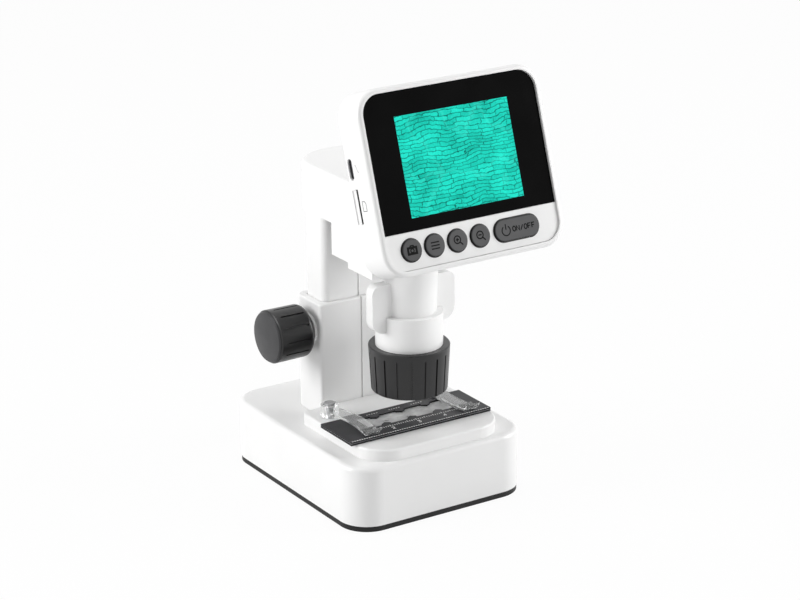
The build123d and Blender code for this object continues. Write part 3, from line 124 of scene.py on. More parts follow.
class Finish:
    """A material under construction: its node tree, its shader and its Object coordinates."""

    def __init__(self, name):
        self.material = bpy.data.materials.new(name)
        self.material.use_nodes = True
        self.tree = self.material.node_tree
        self.shader = self.tree.nodes["Principled BSDF"]
        self.place = self.add("ShaderNodeTexCoord").outputs["Object"]

    def add(self, kind, **settings):
        """A new node of a kind, with its own settings."""
        node = self.tree.nodes.new(kind)
        for key, value in settings.items():
            setattr(node, key, value)
        return node

    def join(self, source, target):
        """Links an output to an input."""
        self.tree.links.new(source, target)

    def feed(self, name, source):
        """Joins a source to the shader's own socket of that name."""
        self.join(source, self.shader.inputs[name])

    def fix(self, **values):
        """Constants on the shader's own sockets; an underscore stands for a space."""
        for key, value in values.items():
            self.shader.inputs[key.replace("_", " ")].default_value = value

    def noise(self, scale, detail=3.0, roughness=0.5, source=None):
        """A noise of the place on the object, or of another vector."""
        node = self.add("ShaderNodeTexNoise")
        node.inputs["Scale"].default_value = scale
        node.inputs["Detail"].default_value = detail
        node.inputs["Roughness"].default_value = roughness
        self.join(source or self.place, node.inputs["Vector"])
        return node.outputs["Fac"]

    def split(self, vector):
        """The three coordinates of a vector, as outputs named X, Y and Z."""
        node = self.add("ShaderNodeSeparateXYZ")
        self.join(vector, node.inputs["Vector"])
        return node.outputs

    def blend(self, factor, first, second):
        """A colour that runs from the first to the second, each three numbers or a socket."""
        mix = self.add("ShaderNodeMix", data_type="RGBA")
        for name, colour in (("A", first), ("B", second)):
            if isinstance(colour, tuple):
                mix.inputs[name].default_value = (*colour, 1.0)
            else:
                self.join(colour, mix.inputs[name])
        self.join(factor, mix.inputs["Factor"])
        return mix.outputs["Result"]

    def span(self, source, start, end, low=NOISE_LOW, high=NOISE_HIGH):
        """A number that runs from start to end while the source runs from low to high."""
        node = self.add("ShaderNodeMapRange")
        node.inputs["From Min"].default_value = low
        node.inputs["From Max"].default_value = high
        node.inputs["To Min"].default_value = start
        node.inputs["To Max"].default_value = end
        self.join(source, node.inputs["Value"])
        return node.outputs["Result"]

    def ramp(self, source, dark, light, low=NOISE_LOW, high=NOISE_HIGH):
        """A colour that runs from dark to light while the source runs from low to high."""
        return self.blend(self.span(source, 0.0, 1.0, low, high), dark, light)

    def calculate(self, operation, first, second=None, third=None):
        """One step of arithmetic on outputs or plain numbers."""
        node = self.add("ShaderNodeMath", operation=operation)
        for socket, value in zip(node.inputs, (first, second, third)):
            if value is None:
                continue
            if isinstance(value, (int, float)):
                socket.default_value = value
            else:
                self.join(value, socket)
        return node.outputs["Value"]

    def bump(self, source, height):
        """Raises the surface by up to height metres where the source is 1."""
        node = self.add("ShaderNodeBump")
        node.inputs["Strength"].default_value = 1.0
        node.inputs["Distance"].default_value = height
        self.join(source, node.inputs["Height"])
        self.feed("Normal", node.outputs["Normal"])


def grey(level):
    """A colour with as much red as green and blue."""
    return (level, level, level)


CLOUDINESS = 35.0         # scales of the noises in every moulded finish, per metre
GLOSS_PATCHES = 90.0
TURNED_DEPTH = 0.000004   # of the fine lines on metal, in metres
TURNED_PLAY = 0.2


def moulded(name, dark, light, rough, grain, depth, specular=0.5, gloss_play=0.12):
    """Moulded plastic: a little cloudiness, uneven gloss and a fine skin. The skin's grain and
    its depth are in metres."""
    finish = Finish(name)
    gloss = finish.noise(GLOSS_PATCHES, detail=4.0)
    finish.feed("Base Color", finish.ramp(finish.noise(CLOUDINESS), dark, light))
    finish.feed(
        "Roughness", finish.span(gloss, rough * (1 - gloss_play), rough * (1 + gloss_play))
    )
    finish.bump(finish.noise(1.0 / grain, detail=2.0), depth)
    finish.fix(Specular_IOR_Level=specular)
    return finish


def metal(name, dark, light, rough, stretch):
    """Drawn or turned metal: fine lines along one axis, from noise squeezed by stretch."""
    finish = Finish(name)
    squeeze = finish.add("ShaderNodeMapping")
    squeeze.inputs["Scale"].default_value = stretch
    finish.join(finish.place, squeeze.inputs["Vector"])
    lines = finish.noise(1.0, detail=4.0, roughness=0.6, source=squeeze.outputs["Vector"])
    finish.feed("Base Color", finish.ramp(lines, dark, light))
    finish.feed(
        "Roughness", finish.span(lines, rough * (1 - TURNED_PLAY), rough * (1 + TURNED_PLAY))
    )
    finish.bump(lines, TURNED_DEPTH)
    finish.fix(Metallic=1.0)
    return finish


# ---------------------------------------------------------------- finishes
white_shell = moulded(
    "white_shell", (0.845, 0.845, 0.842), (0.86, 0.86, 0.857),
    rough=0.3, grain=0.0012, depth=0.0000015, gloss_play=0.04,
)
white_shell.fix(Coat_Weight=0.2, Coat_Roughness=0.16)
foot_black = moulded(
    "foot_black", grey(0.006), grey(0.011),
    rough=0.5, grain=0.0006, depth=0.00001, specular=0.3,
)
grip_black = moulded(
    "grip_black", (0.004, 0.004, 0.0045), (0.008, 0.008, 0.0085),
    rough=0.33, grain=0.0005, depth=0.000006,
)
barrel_black = moulded(
    "barrel_black", grey(0.008), grey(0.014),
    rough=0.6, grain=0.0005, depth=0.000008, specular=0.3,
)
bearing_black = moulded(
    "bearing_black", grey(0.008), grey(0.014),
    rough=0.5, grain=0.0006, depth=0.000006, specular=0.3,
)
lamp_window = moulded(
    "lamp_window", (0.8, 0.8, 0.78), (0.86, 0.86, 0.84),
    rough=0.45, grain=0.0009, depth=0.000004,
)
gear_plastic = moulded(
    "gear_plastic", (0.62, 0.61, 0.56), (0.7, 0.69, 0.64),
    rough=0.42, grain=0.0007, depth=0.000004,
)
board_green = moulded(
    "board_green", (0.01, 0.075, 0.03), (0.015, 0.11, 0.045),
    rough=0.38, grain=0.0015, depth=0.00001,
)
lamp_yellow = moulded(
    "lamp_yellow", (0.75, 0.62, 0.22), (0.85, 0.75, 0.35),
    rough=0.4, grain=0.0008, depth=0.000004,
)
sensor_dark = moulded(
    "sensor_dark", (0.01, 0.01, 0.03), (0.02, 0.02, 0.06),
    rough=0.15, grain=0.0009, depth=0.000002,
)
membrane_grey = moulded(
    "membrane_grey", grey(0.07), grey(0.1),
    rough=0.7, grain=0.0006, depth=0.00001, specular=0.3,
)
slide_black = moulded(
    "slide_black", (0.008, 0.008, 0.01), (0.016, 0.016, 0.019),
    rough=0.42, grain=0.0004, depth=0.000006, specular=0.3,
)
display_dark = moulded(
    "display_dark", (0.01, 0.012, 0.012), (0.02, 0.022, 0.022),
    rough=0.3, grain=0.001, depth=0.000003,
)
ink_dark = moulded(
    "ink_dark", grey(0.002), grey(0.004),
    rough=0.6, grain=0.0003, depth=0.000002, specular=0.1,
)
ink_grey = moulded(
    "ink_grey", (0.16, 0.16, 0.165), (0.22, 0.22, 0.225),
    rough=0.5, grain=0.0003, depth=0.000002, specular=0.3,
)
ink_white = moulded(
    "ink_white", grey(0.78), grey(0.88),
    rough=0.5, grain=0.0003, depth=0.000002, specular=0.3,
)

bright_steel = metal(
    "bright_steel", (0.45, 0.45, 0.46), (0.62, 0.62, 0.63), rough=0.3, stretch=(900.0, 900.0, 60.0)
)
ballast_iron = metal(
    "ballast_iron", (0.06, 0.06, 0.065), (0.1, 0.1, 0.105), rough=0.6, stretch=(300.0, 300.0, 300.0)
)
contact_brass = metal(
    "contact_brass", (0.6, 0.45, 0.18), (0.75, 0.6, 0.28), rough=0.3, stretch=(900.0, 60.0, 900.0)
)
cell_wrap = metal(
    "cell_wrap", (0.09, 0.1, 0.12), (0.16, 0.17, 0.2), rough=0.35, stretch=(60.0, 900.0, 900.0)
)
pack_foil = metal(
    "pack_foil", (0.45, 0.45, 0.47), (0.6, 0.6, 0.62), rough=0.35, stretch=(400.0, 400.0, 400.0)
)


def key_caps():
    """Grey rubbery key caps with painted shade: near black below the rounded edge of their faces, as
    if their sides lay in shade.
    """
    finish = moulded(
        "key_grey", (0.052, 0.052, 0.054), (0.075, 0.075, 0.077),
        rough=0.45, grain=0.0004, depth=0.000006, specular=0.3,
    )
    outward = finish.add("ShaderNodeVectorMath", operation="DOT_PRODUCT")
    outward.inputs[1].default_value = HEAD_OUT
    finish.join(finish.place, outward.inputs[0])
    glass_face = float(SCREEN_MIDDLE @ HEAD_OUT)
    edge = (glass_face + CAP_EDGE) * MM
    top = (glass_face + CAP_TOP) * MM
    # painted shade: from where the rounding begins, down the caps' sides, the colour goes near black
    face = finish.span(outward.outputs["Value"], 0.0, 1.0, low=edge, high=top)
    rubber = finish.shader.inputs["Base Color"].links[0].from_socket
    finish.feed("Base Color", finish.blend(face, grey(0.004), rubber))
    return finish


TURNED_PITCH = 0.45       # between the rings on the knob's disc


def satin_disc():
    """The knob's domed disc: satin grey with faint turned rings about the shaft, which are the
    sine of the distance from it."""
    finish = Finish("satin_disc")
    centre = finish.add("ShaderNodeMapping")
    centre.inputs["Location"].default_value = (0.0, -SHAFT_Y * MM, -SHAFT_Z * MM)
    finish.join(finish.place, centre.inputs["Vector"])
    parts = finish.split(centre.outputs["Vector"])
    radius = finish.calculate(
        "SQRT",
        finish.calculate(
            "ADD",
            finish.calculate("MULTIPLY", parts["Y"], parts["Y"]),
            finish.calculate("MULTIPLY", parts["Z"], parts["Z"]),
        ),
    )
    turns = finish.calculate("MULTIPLY", radius, 2 * math.pi / (TURNED_PITCH * MM))
    rings = finish.calculate("SINE", turns)
    finish.feed(
        "Base Color", finish.ramp(finish.noise(120.0), (0.03, 0.03, 0.032), (0.045, 0.045, 0.047))
    )
    finish.feed("Roughness", finish.span(rings, 0.34, 0.4, low=-1.0, high=1.0))
    finish.bump(rings, 0.0000015)
    finish.fix(Metallic=0.1, Specular_IOR_Level=0.35)
    return finish


def clear_plastic():
    """Clear springy plastic with slow flow ripples and faintly frosted wear."""
    finish = Finish("clear_plastic")
    ripple = finish.noise(220.0, detail=2.0)
    finish.feed("Roughness", finish.span(ripple, 0.04, 0.14))
    finish.feed("Base Color", finish.ramp(ripple, (0.93, 0.945, 0.945), (0.99, 0.99, 0.99)))
    finish.bump(ripple, 0.00004)
    finish.fix(Transmission_Weight=0.93, IOR=1.49)
    return finish


def frosted_film():
    """The specimen film: milky, with soft stains where the specimen lies."""
    finish = Finish("frosted_film")
    stains = finish.noise(170.0, detail=4.0, roughness=0.6)
    finish.feed(
        "Base Color", finish.ramp(stains, (0.5, 0.5, 0.51), grey(0.93), low=0.35, high=0.68)
    )
    finish.feed("Roughness", finish.span(stains, 0.25, 0.5))
    finish.bump(finish.noise(900.0, detail=2.0), 0.000005)
    finish.fix(Transmission_Weight=0.35, IOR=1.45)
    return finish


def coated_lens():
    """Lens glass with a faint uneven coating."""
    finish = Finish("coated_lens")
    cloud = finish.noise(150.0)
    finish.feed("Base Color", finish.ramp(cloud, (0.85, 0.9, 1.0), (0.95, 0.92, 1.0)))
    finish.feed("Roughness", finish.span(cloud, 0.01, 0.04))
    finish.fix(Transmission_Weight=1.0, IOR=1.52)
    return finish


# the picture of plant cells on the display; lengths in millimetres, scales per millimetre
CELL_LENGTH = 6.9
CELL_HEIGHT = 1.65
WALL_WIDTH = 0.22
WALL_BLUR = 0.6
SLOW_WAVES = (0.05, 1.0, (6.0, 9.0, 0.0))     # scale, detail, and how far they bend the rows
SMALL_WAVES = (0.42, 2.0, (2.6, 1.5, 0.0))
PATCH_SCALE = 0.07
SPECKLE_SCALE = 1.3
FOLD_SCALE = 0.035
TINT_SHARE = 0.2          # parts of the light that the cells, the patches and the speckle give
PATCH_SHARE = 0.8
SPECKLE_SHARE = 0.55
WALL_IN_LIGHT = 0.6       # how strong the walls are in the lightest patches
CREASE_WIDTH = 0.02       # of the noise's values
CREASE_STRENGTH = 0.3
CELL_DARK = (0.002, 0.42, 0.32)
CELL_LIGHT = (0.018, 0.9, 0.7)
WALL_COLOUR = (0.001, 0.11, 0.085)
CREASE_COLOUR = (0.06, 0.9, 0.72)


def display_plane(finish):
    """Places on the cover glass, in millimetres across and up along it from its middle, and a
    factor that is 1 inside the display's rectangle and 0 outside."""
    parts = finish.split(finish.place)
    across = parts["X"]
    from_middle_y = finish.calculate("SUBTRACT", parts["Y"], SCREEN_MIDDLE[1] * MM)
    from_middle_z = finish.calculate("SUBTRACT", parts["Z"], SCREEN_MIDDLE[2] * MM)
    upward = finish.calculate(
        "ADD",
        finish.calculate("MULTIPLY", from_middle_y, HEAD_UP[1]),
        finish.calculate("MULTIPLY", from_middle_z, HEAD_UP[2]),
    )
    inside = finish.calculate(
        "MULTIPLY",
        finish.calculate(
            "LESS_THAN", finish.calculate("ABSOLUTE", across), DISPLAY_WIDTH / 2 * MM
        ),
        finish.calculate(
            "LESS_THAN", finish.calculate("ABSOLUTE", upward), DISPLAY_HEIGHT / 2 * MM
        ),
    )
    plane = finish.add("ShaderNodeCombineXYZ")
    finish.join(finish.calculate("DIVIDE", across, MM), plane.inputs["X"])
    finish.join(finish.calculate("DIVIDE", upward, MM), plane.inputs["Y"])
    return plane.outputs["Vector"], inside


def bent_plane(finish, plane):
    """The plane moved by two noises: slow waves bend the rows of cells, small ones roughen
    their walls."""
    bent = plane
    for scale, detail, reach in (SLOW_WAVES, SMALL_WAVES):
        wave = finish.add("ShaderNodeTexNoise")
        wave.inputs["Scale"].default_value = scale
        wave.inputs["Detail"].default_value = detail
        finish.join(plane, wave.inputs["Vector"])
        shift = finish.add("ShaderNodeVectorMath", operation="MULTIPLY_ADD")
        shift.inputs[1].default_value = reach
        finish.join(wave.outputs["Color"], shift.inputs[0])
        finish.join(bent, shift.inputs[2])
        bent = shift.outputs["Vector"]
    return bent


def plant_cells(finish, bent):
    """Rows of long bricks, each row moved along by its own chance: a factor that is 1 in the
    walls, and a tint of its own for each cell."""
    parts = finish.split(bent)
    row = finish.calculate("FLOOR", finish.calculate("DIVIDE", parts["Y"], CELL_HEIGHT))
    chance = finish.add("ShaderNodeTexWhiteNoise", noise_dimensions="1D")
    finish.join(row, chance.inputs["W"])
    staggered = finish.add("ShaderNodeCombineXYZ")
    finish.join(
        finish.calculate("MULTIPLY_ADD", chance.outputs["Value"], CELL_LENGTH, parts["X"]),
        staggered.inputs["X"],
    )
    finish.join(parts["Y"], staggered.inputs["Y"])
    cells = finish.add("ShaderNodeTexBrick", offset=0.0, squash=1.0)
    for socket, value in {
        "Color1": (0.0, 0.0, 0.0, 1.0),
        "Color2": (1.0, 1.0, 1.0, 1.0),
        "Mortar": (0.5, 0.5, 0.5, 1.0),
        "Scale": 1.0,
        "Mortar Size": WALL_WIDTH,
        "Mortar Smooth": WALL_BLUR,
        "Bias": 0.0,
        "Brick Width": CELL_LENGTH,
        "Row Height": CELL_HEIGHT,
    }.items():
        cells.inputs[socket].default_value = value
    finish.join(staggered.outputs["Vector"], cells.inputs["Vector"])
    tint = finish.add("ShaderNodeSeparateColor")
    finish.join(cells.outputs["Color"], tint.inputs["Color"])
    return cells.outputs["Fac"], tint.outputs["Red"]


def screen_cover():
    """Black cover glass with the lit display behind it.

    Inside the display's rectangle the picture is a sheet of long plant cells with dark walls,
    uneven light and a few pale creases. Outside it the glass is printed black.
    """
    finish = Finish("screen_cover")
    plane, inside = display_plane(finish)
    bent = bent_plane(finish, plane)
    walls, tint = plant_cells(finish, bent)
    patches = finish.noise(PATCH_SCALE, source=plane)
    speckle = finish.noise(SPECKLE_SCALE, detail=4.0, roughness=0.6, source=plane)
    folds = finish.noise(FOLD_SCALE, detail=2.0, source=bent)
    light = finish.calculate(
        "ADD",
        finish.calculate("MULTIPLY", tint, TINT_SHARE),
        finish.calculate(
            "ADD",
            finish.calculate("MULTIPLY", patches, PATCH_SHARE),
            finish.calculate("MULTIPLY", speckle, SPECKLE_SHARE),
        ),
    )
    flesh = finish.ramp(light, CELL_DARK, CELL_LIGHT, low=0.5, high=1.0)
    strength = finish.calculate("MULTIPLY", walls, finish.span(patches, 1.0, WALL_IN_LIGHT))
    walled = finish.blend(strength, flesh, WALL_COLOUR)
    from_fold = finish.calculate("ABSOLUTE", finish.calculate("SUBTRACT", folds, 0.5))
    crease = finish.span(from_fold, CREASE_STRENGTH, 0.0, low=0.0, high=CREASE_WIDTH)
    picture = finish.blend(crease, walled, CREASE_COLOUR)
    finish.feed("Emission Color", finish.blend(inside, grey(0.0), picture))
    finish.fix(Emission_Strength=1.0, Specular_IOR_Level=0.05)
    smudge = finish.noise(60.0)
    finish.feed("Base Color", finish.ramp(smudge, grey(0.0015), grey(0.0025)))
    finish.feed("Roughness", finish.span(smudge, 0.06, 0.14))
    return finish


FINISHES = {
    "white_gloss": white_shell,
    "foot_black": foot_black,
    "knob_black": grip_black,
    "cap_grey": satin_disc(),
    "barrel_black": barrel_black,
    "bush_black": bearing_black,
    "button_grey": key_caps(),
    "screen_glass": screen_cover(),
    "display": display_dark,
    "optical_glass": coated_lens(),
    "diffuser": lamp_window,
    "board_green": board_green,
    "led_yellow": lamp_yellow,
    "sensor_dark": sensor_dark,
    "steel": bright_steel,
    "ballast_iron": ballast_iron,
    "contact_brass": contact_brass,
    "cell_metal": cell_wrap,
    "pack_foil": pack_foil,
    "gear_plastic": gear_plastic,
    "membrane_rubber": membrane_grey,
    "clear_plastic": clear_plastic(),
    "slide_black": slide_black,
    "film_frosted": frosted_film(),
}
for subpart in frame["record"]["subparts"]:
    node = frame["nodes"][subpart["node"]]
    node.data.materials.clear()
    node.data.materials.append(FINISHES[subpart["material_slot"]].material)


# ---------------------------------------------------------------- print and small relief
def on_head(u, v, w):
    """A frame on the head's front: its origin, its right, its up and its outward direction."""
    origin = SCREEN_MIDDLE + u * HEAD_RIGHT + v * HEAD_UP + w * HEAD_OUT
    return origin, HEAD_RIGHT, HEAD_UP, HEAD_OUT


def on_side(v, w):
    """A frame on the head's left side, whose right runs down the tilted side."""
    origin = np.array([HEAD_SIDE, *(SCREEN_MIDDLE + v * HEAD_UP + w * HEAD_OUT)[1:]])
    return origin, -HEAD_UP, HEAD_OUT, np.array([-1.0, 0.0, 0.0])


def on_table(x, y, z):
    """A frame on a level face."""
    return np.array([x, y, z]), *np.eye(3)


def ring(radius, x=0.0, y=0.0, start=0.0, end=360.0, steps=28):
    """Points on an arc: (x + r cos t, y + r sin t) for t from start to end degrees."""
    t = np.radians(np.linspace(start, end, steps))
    return np.column_stack([x + radius * np.cos(t), y + radius * np.sin(t)])


def boxed(width, height, x=0.0, y=0.0):
    """The closed outline of a rectangle about (x, y)."""
    corners = np.array([(-1, -1), (1, -1), (1, 1), (-1, 1), (-1, -1)], float) / 2
    return corners * (width, height) + (x, y)


def line(*points):
    """A path of straight runs through the points."""
    return np.array(points, float)


def stroke_grid(path, width, height):
    """A flat bar carried along a path: at each point a ring of four corners, half the width to
    each side along the mitred normal, at the surface and at the height. A path that ends where
    it starts gives a closed bar, any other gets a face at each end."""
    steps = np.diff(path, axis=0)
    steps /= np.linalg.norm(steps, axis=1)[:, None]
    before = np.vstack([steps[:1], steps])
    after = np.vstack([steps, steps[-1:]])
    closed = np.allclose(path[0], path[-1])
    if closed:
        before[0] = steps[-1]
        after[-1] = steps[0]
    tangent = before + after
    tangent /= np.linalg.norm(tangent, axis=1)[:, None]
    normal = np.column_stack([-tangent[:, 1], tangent[:, 0]])
    mitre = np.clip((normal * np.column_stack([-before[:, 1], before[:, 0]])).sum(1), 0.5, 1.0)
    offset = normal * (width / 2 / mitre)[:, None]
    low = np.zeros(len(path))
    high = np.full(len(path), height)
    sides = [
        (path - offset, low),
        (path + offset, low),
        (path + offset, high),
        (path - offset, high),
    ]
    corners = [np.column_stack([flat, z]) for flat, z in sides]
    points = np.stack(corners, axis=1).reshape(-1, 3)
    count = len(path)
    i, k = np.meshgrid(np.arange(count - 1), np.arange(4), indexing="ij")
    following = (k + 1) % 4
    faces = np.stack(
        [4 * i + k, 4 * i + following, 4 * (i + 1) + following, 4 * (i + 1) + k], axis=-1
    )
    faces = faces.reshape(-1, 4)
    if not closed:
        last = 4 * (count - 1)
        ends = np.array([[3, 2, 1, 0], [last, last + 1, last + 2, last + 3]])
        faces = np.vstack([faces, ends])
    return points, faces


def relief(name, strokes, place, width, height, body, finish):
    """Strokes drawn as flat bars on a face, made one mesh: a point (x, y, z) of a bar lies at
    the place's origin plus x times its right, y times its up and z times its outward side."""
    origin, x_dir, y_dir, out = place
    all_points = []
    all_faces = []
    used = 0
    for path in strokes:
        points, faces = stroke_grid(path, width, height)
        spot = origin + points[:, :1] * x_dir + points[:, 1:2] * y_dir + points[:, 2:] * out
        all_points.append(spot * MM)
        all_faces.append(faces + used)
        used += len(points)
    mesh = bpy.data.meshes.new(name)
    mesh.from_pydata(np.vstack(all_points), [], np.vstack(all_faces).tolist())
    piece = bpy.data.objects.new(name, mesh)
    bpy.context.scene.collection.objects.link(piece)
    mesh.materials.append(finish.material)
    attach(piece, body)


GLYPHS = {
    "O": [ring(0.5, 0.5, 0.5, steps=20)],
    "N": [line((0, 0), (0, 1), (1, 0), (1, 1))],
    "F": [line((0, 0), (0, 1), (0.95, 1)), line((0, 0.52), (0.8, 0.52))],
    "/": [line((0.1, 0), (0.9, 1))],
    "1": [line((0.2, 0.75), (0.55, 1), (0.55, 0))],
    "2": [line((0, 0.8), (0.3, 1), (0.8, 1), (1, 0.7), (0, 0), (1, 0))],
    "3": [line((0, 1), (1, 1), (0.45, 0.58), (0.9, 0.5), (1, 0.25), (0.7, 0), (0, 0.05))],
    "4": [line((0.75, 0), (0.75, 1), (0, 0.3), (1, 0.3))],
    "5": [line((1, 1), (0.1, 1), (0, 0.55), (0.7, 0.55), (1, 0.3), (0.7, 0), (0, 0.05))],
}


def words(text, width, height, gap, x=0.0, y=0.0):
    """Strokes for plain capitals and figures, each in a box of width by height. The row of
    boxes, with the gap between them, has its middle at (x, y)."""
    length = len(text) * width + (len(text) - 1) * gap
    strokes = []
    for index, letter in enumerate(text):
        left = x - length / 2 + index * (width + gap)
        for path in GLYPHS[letter]:
            strokes.append(path * (width, height) + (left, y - height / 2))
    return strokes


# widths of the strokes
KEY_STROKE = 0.55
POWER_STROKE = 0.5
GAP_SHADE_STROKE = 0.45
PORT_STROKE = 0.32
FIGURE_STROKE = 0.4
EDGE_STROKE = 0.55

# the keys' signs: a camera, a list, and a magnifying glass with plus and with minus
camera_sign = [
    boxed(4.6, 3.0, 0, -0.2),
    boxed(3.7, 2.1, 0, -0.2),
    ring(0.8, 0, -0.2),
    line((-1.0, 1.4), (-0.7, 1.95), (0.7, 1.95), (1.0, 1.4)),
]
menu_sign = [line((-2.1, y), (2.1, y)) for y in (-1.35, 0.0, 1.35)]
glass_sign = [ring(1.6, -0.4, 0.4), line((0.75, -0.75), (2.1, -2.1))]
minus_sign = line((-1.2, 0.4), (0.4, 0.4))
upright_sign = line((-0.4, -0.4), (-0.4, 1.2))
BUTTON_SIGNS = {
    "photo_button": camera_sign,
    "menu_button": menu_sign,
    "zoom_in_button": [*glass_sign, minus_sign, upright_sign],
    "zoom_out_button": [*glass_sign, minus_sign],
}
for button, sign in BUTTON_SIGNS.items():
    relief(
        f"{button}_sign", sign, on_head(BUTTON_U[button], BUTTON_V, CAP_TOP),
        KEY_STROKE, INK, button, ink_dark,
    )

# the power key's sign, an open ring with a bar in its gap, and its words
power_sign = [ring(2.1, -5.9, -0.2, start=125, end=415), line((-5.9, 0.2), (-5.9, 2.7))]
power_words = words("ON/OFF", width=1.45, height=2.1, gap=0.55, x=3.3)
relief(
    "power_sign", power_sign + power_words, on_head(POWER_U, BUTTON_V, CAP_TOP),
    POWER_STROKE, INK, "power_button", ink_dark,
)

# painted shade: a dark ring laid on the panel over the gap round each key, standing for the shade in
# that gap
gap_shade_radius = KEY_RADIUS + KEY_GAP
round_gap_shade = ring(gap_shade_radius)
long_gap_shade = np.vstack(
    [
        ring(gap_shade_radius, POWER_REACH, start=-90, end=90, steps=20),
        ring(gap_shade_radius, -POWER_REACH, start=90, end=270, steps=20),
        [(POWER_REACH, -gap_shade_radius)],
    ]
)
gap_shades = [round_gap_shade + (u, BUTTON_V) for u in BUTTON_U.values()]
gap_shades.append(long_gap_shade + (POWER_U, BUTTON_V))
relief(
    "key_gap_shade", gap_shades, on_head(0.0, 0.0, PANEL_FACE),
    GAP_SHADE_STROKE, INK, "carriage", bearing_black,
)

# small signs beside the two ports: a bolt for charging and a card with a cut corner
bolt_sign = [line((1.7, 0.9), (-0.4, -0.25), (0.4, 0.25), (-1.7, -0.9))]
card_sign = [line((-2.1, -1.4), (2.1, -1.4), (2.1, 1.4), (-1.1, 1.4), (-2.1, 0.5), (-2.1, -1.4))]
for name, sign, place in (
    ("charge_sign", bolt_sign, on_side(3.0, -7.6)),
    ("card_sign", card_sign, on_side(-13.0, -6.6)),
):
    relief(name, sign, place, PORT_STROKE, INK, "carriage", ink_grey)

# print on the specimen slide, in millimetres from its middle: a figure for each of the five
# fields, a scale of ticks, three blocks of dashes at the back and a dashed front edge. The
# figures and the ticks are centred under the barrel, not on the slide, which lies a little left.
FIELDS = 5
FIELD_PITCH = 13.8
FIGURE_WIDTH = 1.3
FIGURE_HEIGHT = 2.0
FIGURES_Y = -8.9
TICKS_TO_A_SIDE = 24
TICK_PITCH = 1.15
TICKS_Y = -6.6
LONG_TICK = 1.3
SHORT_TICK = 0.8
LONG_EVERY = 4            # every fourth tick is a long one
BLOCK_PITCH = 12.0
DASHES_IN_BLOCK = 5
DASH_PITCH = 1.3
DASH_LENGTH = 0.7
DASHES_START = -3.0
DASHES_Y = 10.2
EDGE_REACH = (-36.8, 36.2)
EDGE_PITCH = 1.25
EDGE_DASH = 0.75
EDGE_Y = -12.6

slide_print = []
for number in range(1, FIELDS + 1):
    figure_x = (number - (FIELDS + 1) / 2) * FIELD_PITCH - SLIDE_X
    slide_print += words(str(number), FIGURE_WIDTH, FIGURE_HEIGHT, 0.0, figure_x, FIGURES_Y)
for tick in range(-TICKS_TO_A_SIDE, TICKS_TO_A_SIDE + 1):
    tick_x = tick * TICK_PITCH - SLIDE_X
    length = SHORT_TICK if tick % LONG_EVERY else LONG_TICK
    slide_print.append(line((tick_x, TICKS_Y), (tick_x, TICKS_Y + length)))
for block in (-1, 0, 1):
    for dash in range(DASHES_IN_BLOCK):
        dash_x = block * BLOCK_PITCH + dash * DASH_PITCH + DASHES_START
        slide_print.append(line((dash_x, DASHES_Y), (dash_x + DASH_LENGTH, DASHES_Y)))
edge_print = [line((x, EDGE_Y), (x + EDGE_DASH, EDGE_Y)) for x in np.arange(*EDGE_REACH, EDGE_PITCH)]
for name, strokes, width in (
    ("slide_figures", slide_print, FIGURE_STROKE),
    ("slide_edge", edge_print, EDGE_STROKE),
):
    relief(
        name, strokes, on_table(SLIDE_X, SLIDE_Y, SLIDE_TOP),
        width, INK, "specimen_slide", ink_white,
    )

# low grip ridges across the toe of each clip, three flat bars
RIDGE_REACH = 3.2
RIDGE_WIDTH = 0.55
RIDGE_HEIGHT = 0.35
ridges = [line((-RIDGE_REACH, y), (RIDGE_REACH, y)) for y in (1.2, 2.6, 4.0)]
for hand, toe_x in (("left", -CLIP_TOE_X), ("right", CLIP_TOE_X)):
    relief(
        f"clip_ridges_{hand}", ridges, on_table(toe_x, CLIP_TOE_Y, CLIP_TOP),
        RIDGE_WIDTH, RIDGE_HEIGHT, f"stage_clip_{hand}", FINISHES["clear_plastic"],
    )

# ---------------------------------------------------------------- floor, world and lamps
FLOOR_REACH = 3.0         # in metres, as all lengths from here on
FLOOR_DROP = 0.0002
FLOOR_SHARE = 0.95        # how much of the floor's look is plain white
SKY_LIGHT = 0.3           # the world's light on the object
LAMP_SIZE = 0.9
LAMP_AIM = np.array([0.0, -0.01, 0.1])


def show_white(tree, output, lit, white, share):
    """Joins two shaders to the output: the share of white for camera, glossy and transmission
    rays, and only the lit one for the light that falls on the object."""
    seen = tree.nodes.new("ShaderNodeLightPath")
    factor = seen.outputs["Is Camera Ray"]
    for kind in ("Is Glossy Ray", "Is Transmission Ray"):
        either = tree.nodes.new("ShaderNodeMath")
        either.operation = "MAXIMUM"
        tree.links.new(factor, either.inputs[0])
        tree.links.new(seen.outputs[kind], either.inputs[1])
        factor = either.outputs[0]
    scaled = tree.nodes.new("ShaderNodeMath")
    scaled.operation = "MULTIPLY"
    tree.links.new(factor, scaled.inputs[0])
    scaled.inputs[1].default_value = share
    mix = tree.nodes.new("ShaderNodeMixShader")
    tree.links.new(scaled.outputs[0], mix.inputs[0])
    tree.links.new(lit.outputs[0], mix.inputs[1])
    tree.links.new(white.outputs[0], mix.inputs[2])
    tree.links.new(mix.outputs[0], output.inputs["Surface"])


def emptied(owner):
    """The node tree of a material or world, with no nodes in it."""
    owner.use_nodes = True
    owner.node_tree.nodes.clear()
    return owner.node_tree


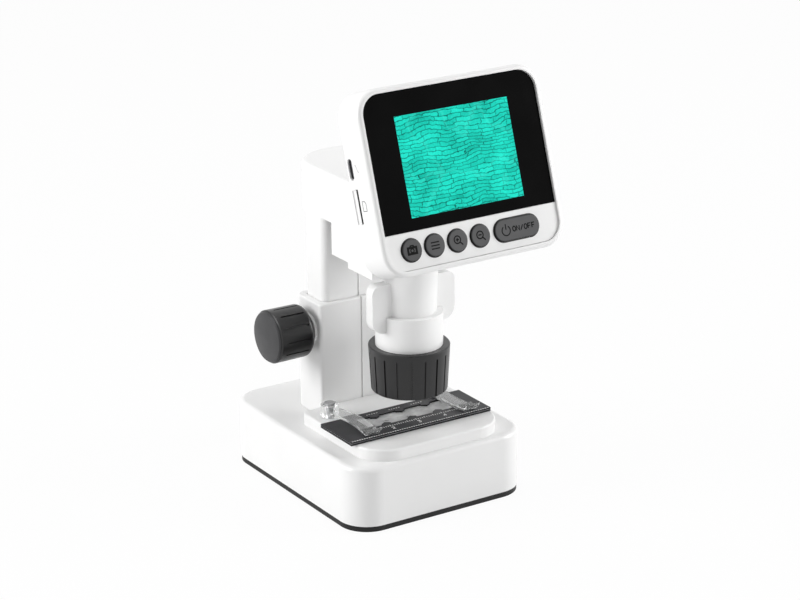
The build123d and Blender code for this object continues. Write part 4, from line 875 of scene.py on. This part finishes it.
def softbox(name, place, power):
    """A square lamp at a place, turned towards the middle of the microscope."""
    light = bpy.data.lights.new(name, "AREA")
    light.size = LAMP_SIZE
    light.energy = power
    lamp = bpy.data.objects.new(name, light)
    away = np.array(place) - LAMP_AIM
    away /= np.linalg.norm(away)
    across = np.cross((0.0, 0.0, 1.0), away)
    across /= np.linalg.norm(across)
    lamp.matrix_world = placed(across, np.cross(away, across), away, place)
    bpy.context.scene.collection.objects.link(lamp)


floor_mesh = bpy.data.meshes.new("floor")
floor_corners = [(-1, -1), (1, -1), (1, 1), (-1, 1)]
floor_mesh.from_pydata(
    [(x * FLOOR_REACH, y * FLOOR_REACH, -FLOOR_DROP) for x, y in floor_corners],
    [],
    [(0, 1, 2, 3)],
)
floor = bpy.data.objects.new("floor", floor_mesh)
bpy.context.scene.collection.objects.link(floor)
floor_material = bpy.data.materials.new("floor_white")
floor_tree = emptied(floor_material)
matt = floor_tree.nodes.new("ShaderNodeBsdfDiffuse")
matt.inputs["Color"].default_value = (*grey(0.82), 1.0)
glow = floor_tree.nodes.new("ShaderNodeEmission")
glow.inputs["Color"].default_value = (*grey(1.0), 1.0)
floor_output = floor_tree.nodes.new("ShaderNodeOutputMaterial")
show_white(floor_tree, floor_output, matt, glow, FLOOR_SHARE)
floor_mesh.materials.append(floor_material)

world = bpy.data.worlds.new("studio")
bpy.context.scene.world = world
world_tree = emptied(world)
soft = world_tree.nodes.new("ShaderNodeBackground")
soft.inputs["Color"].default_value = (*grey(1.0), 1.0)
soft.inputs["Strength"].default_value = SKY_LIGHT
plain = world_tree.nodes.new("ShaderNodeBackground")
plain.inputs["Color"].default_value = (*grey(1.0), 1.0)
plain.inputs["Strength"].default_value = 1.0
world_output = world_tree.nodes.new("ShaderNodeOutputWorld")
show_white(world_tree, world_output, soft, plain, 1.0)

softbox("left_lamp", (-1.35, 0.45, 0.7), 18.5)
softbox("right_lamp", (1.3, -0.85, 0.55), 18.5)
softbox("top_lamp", (0.1, 0.1, 1.5), 6.0)
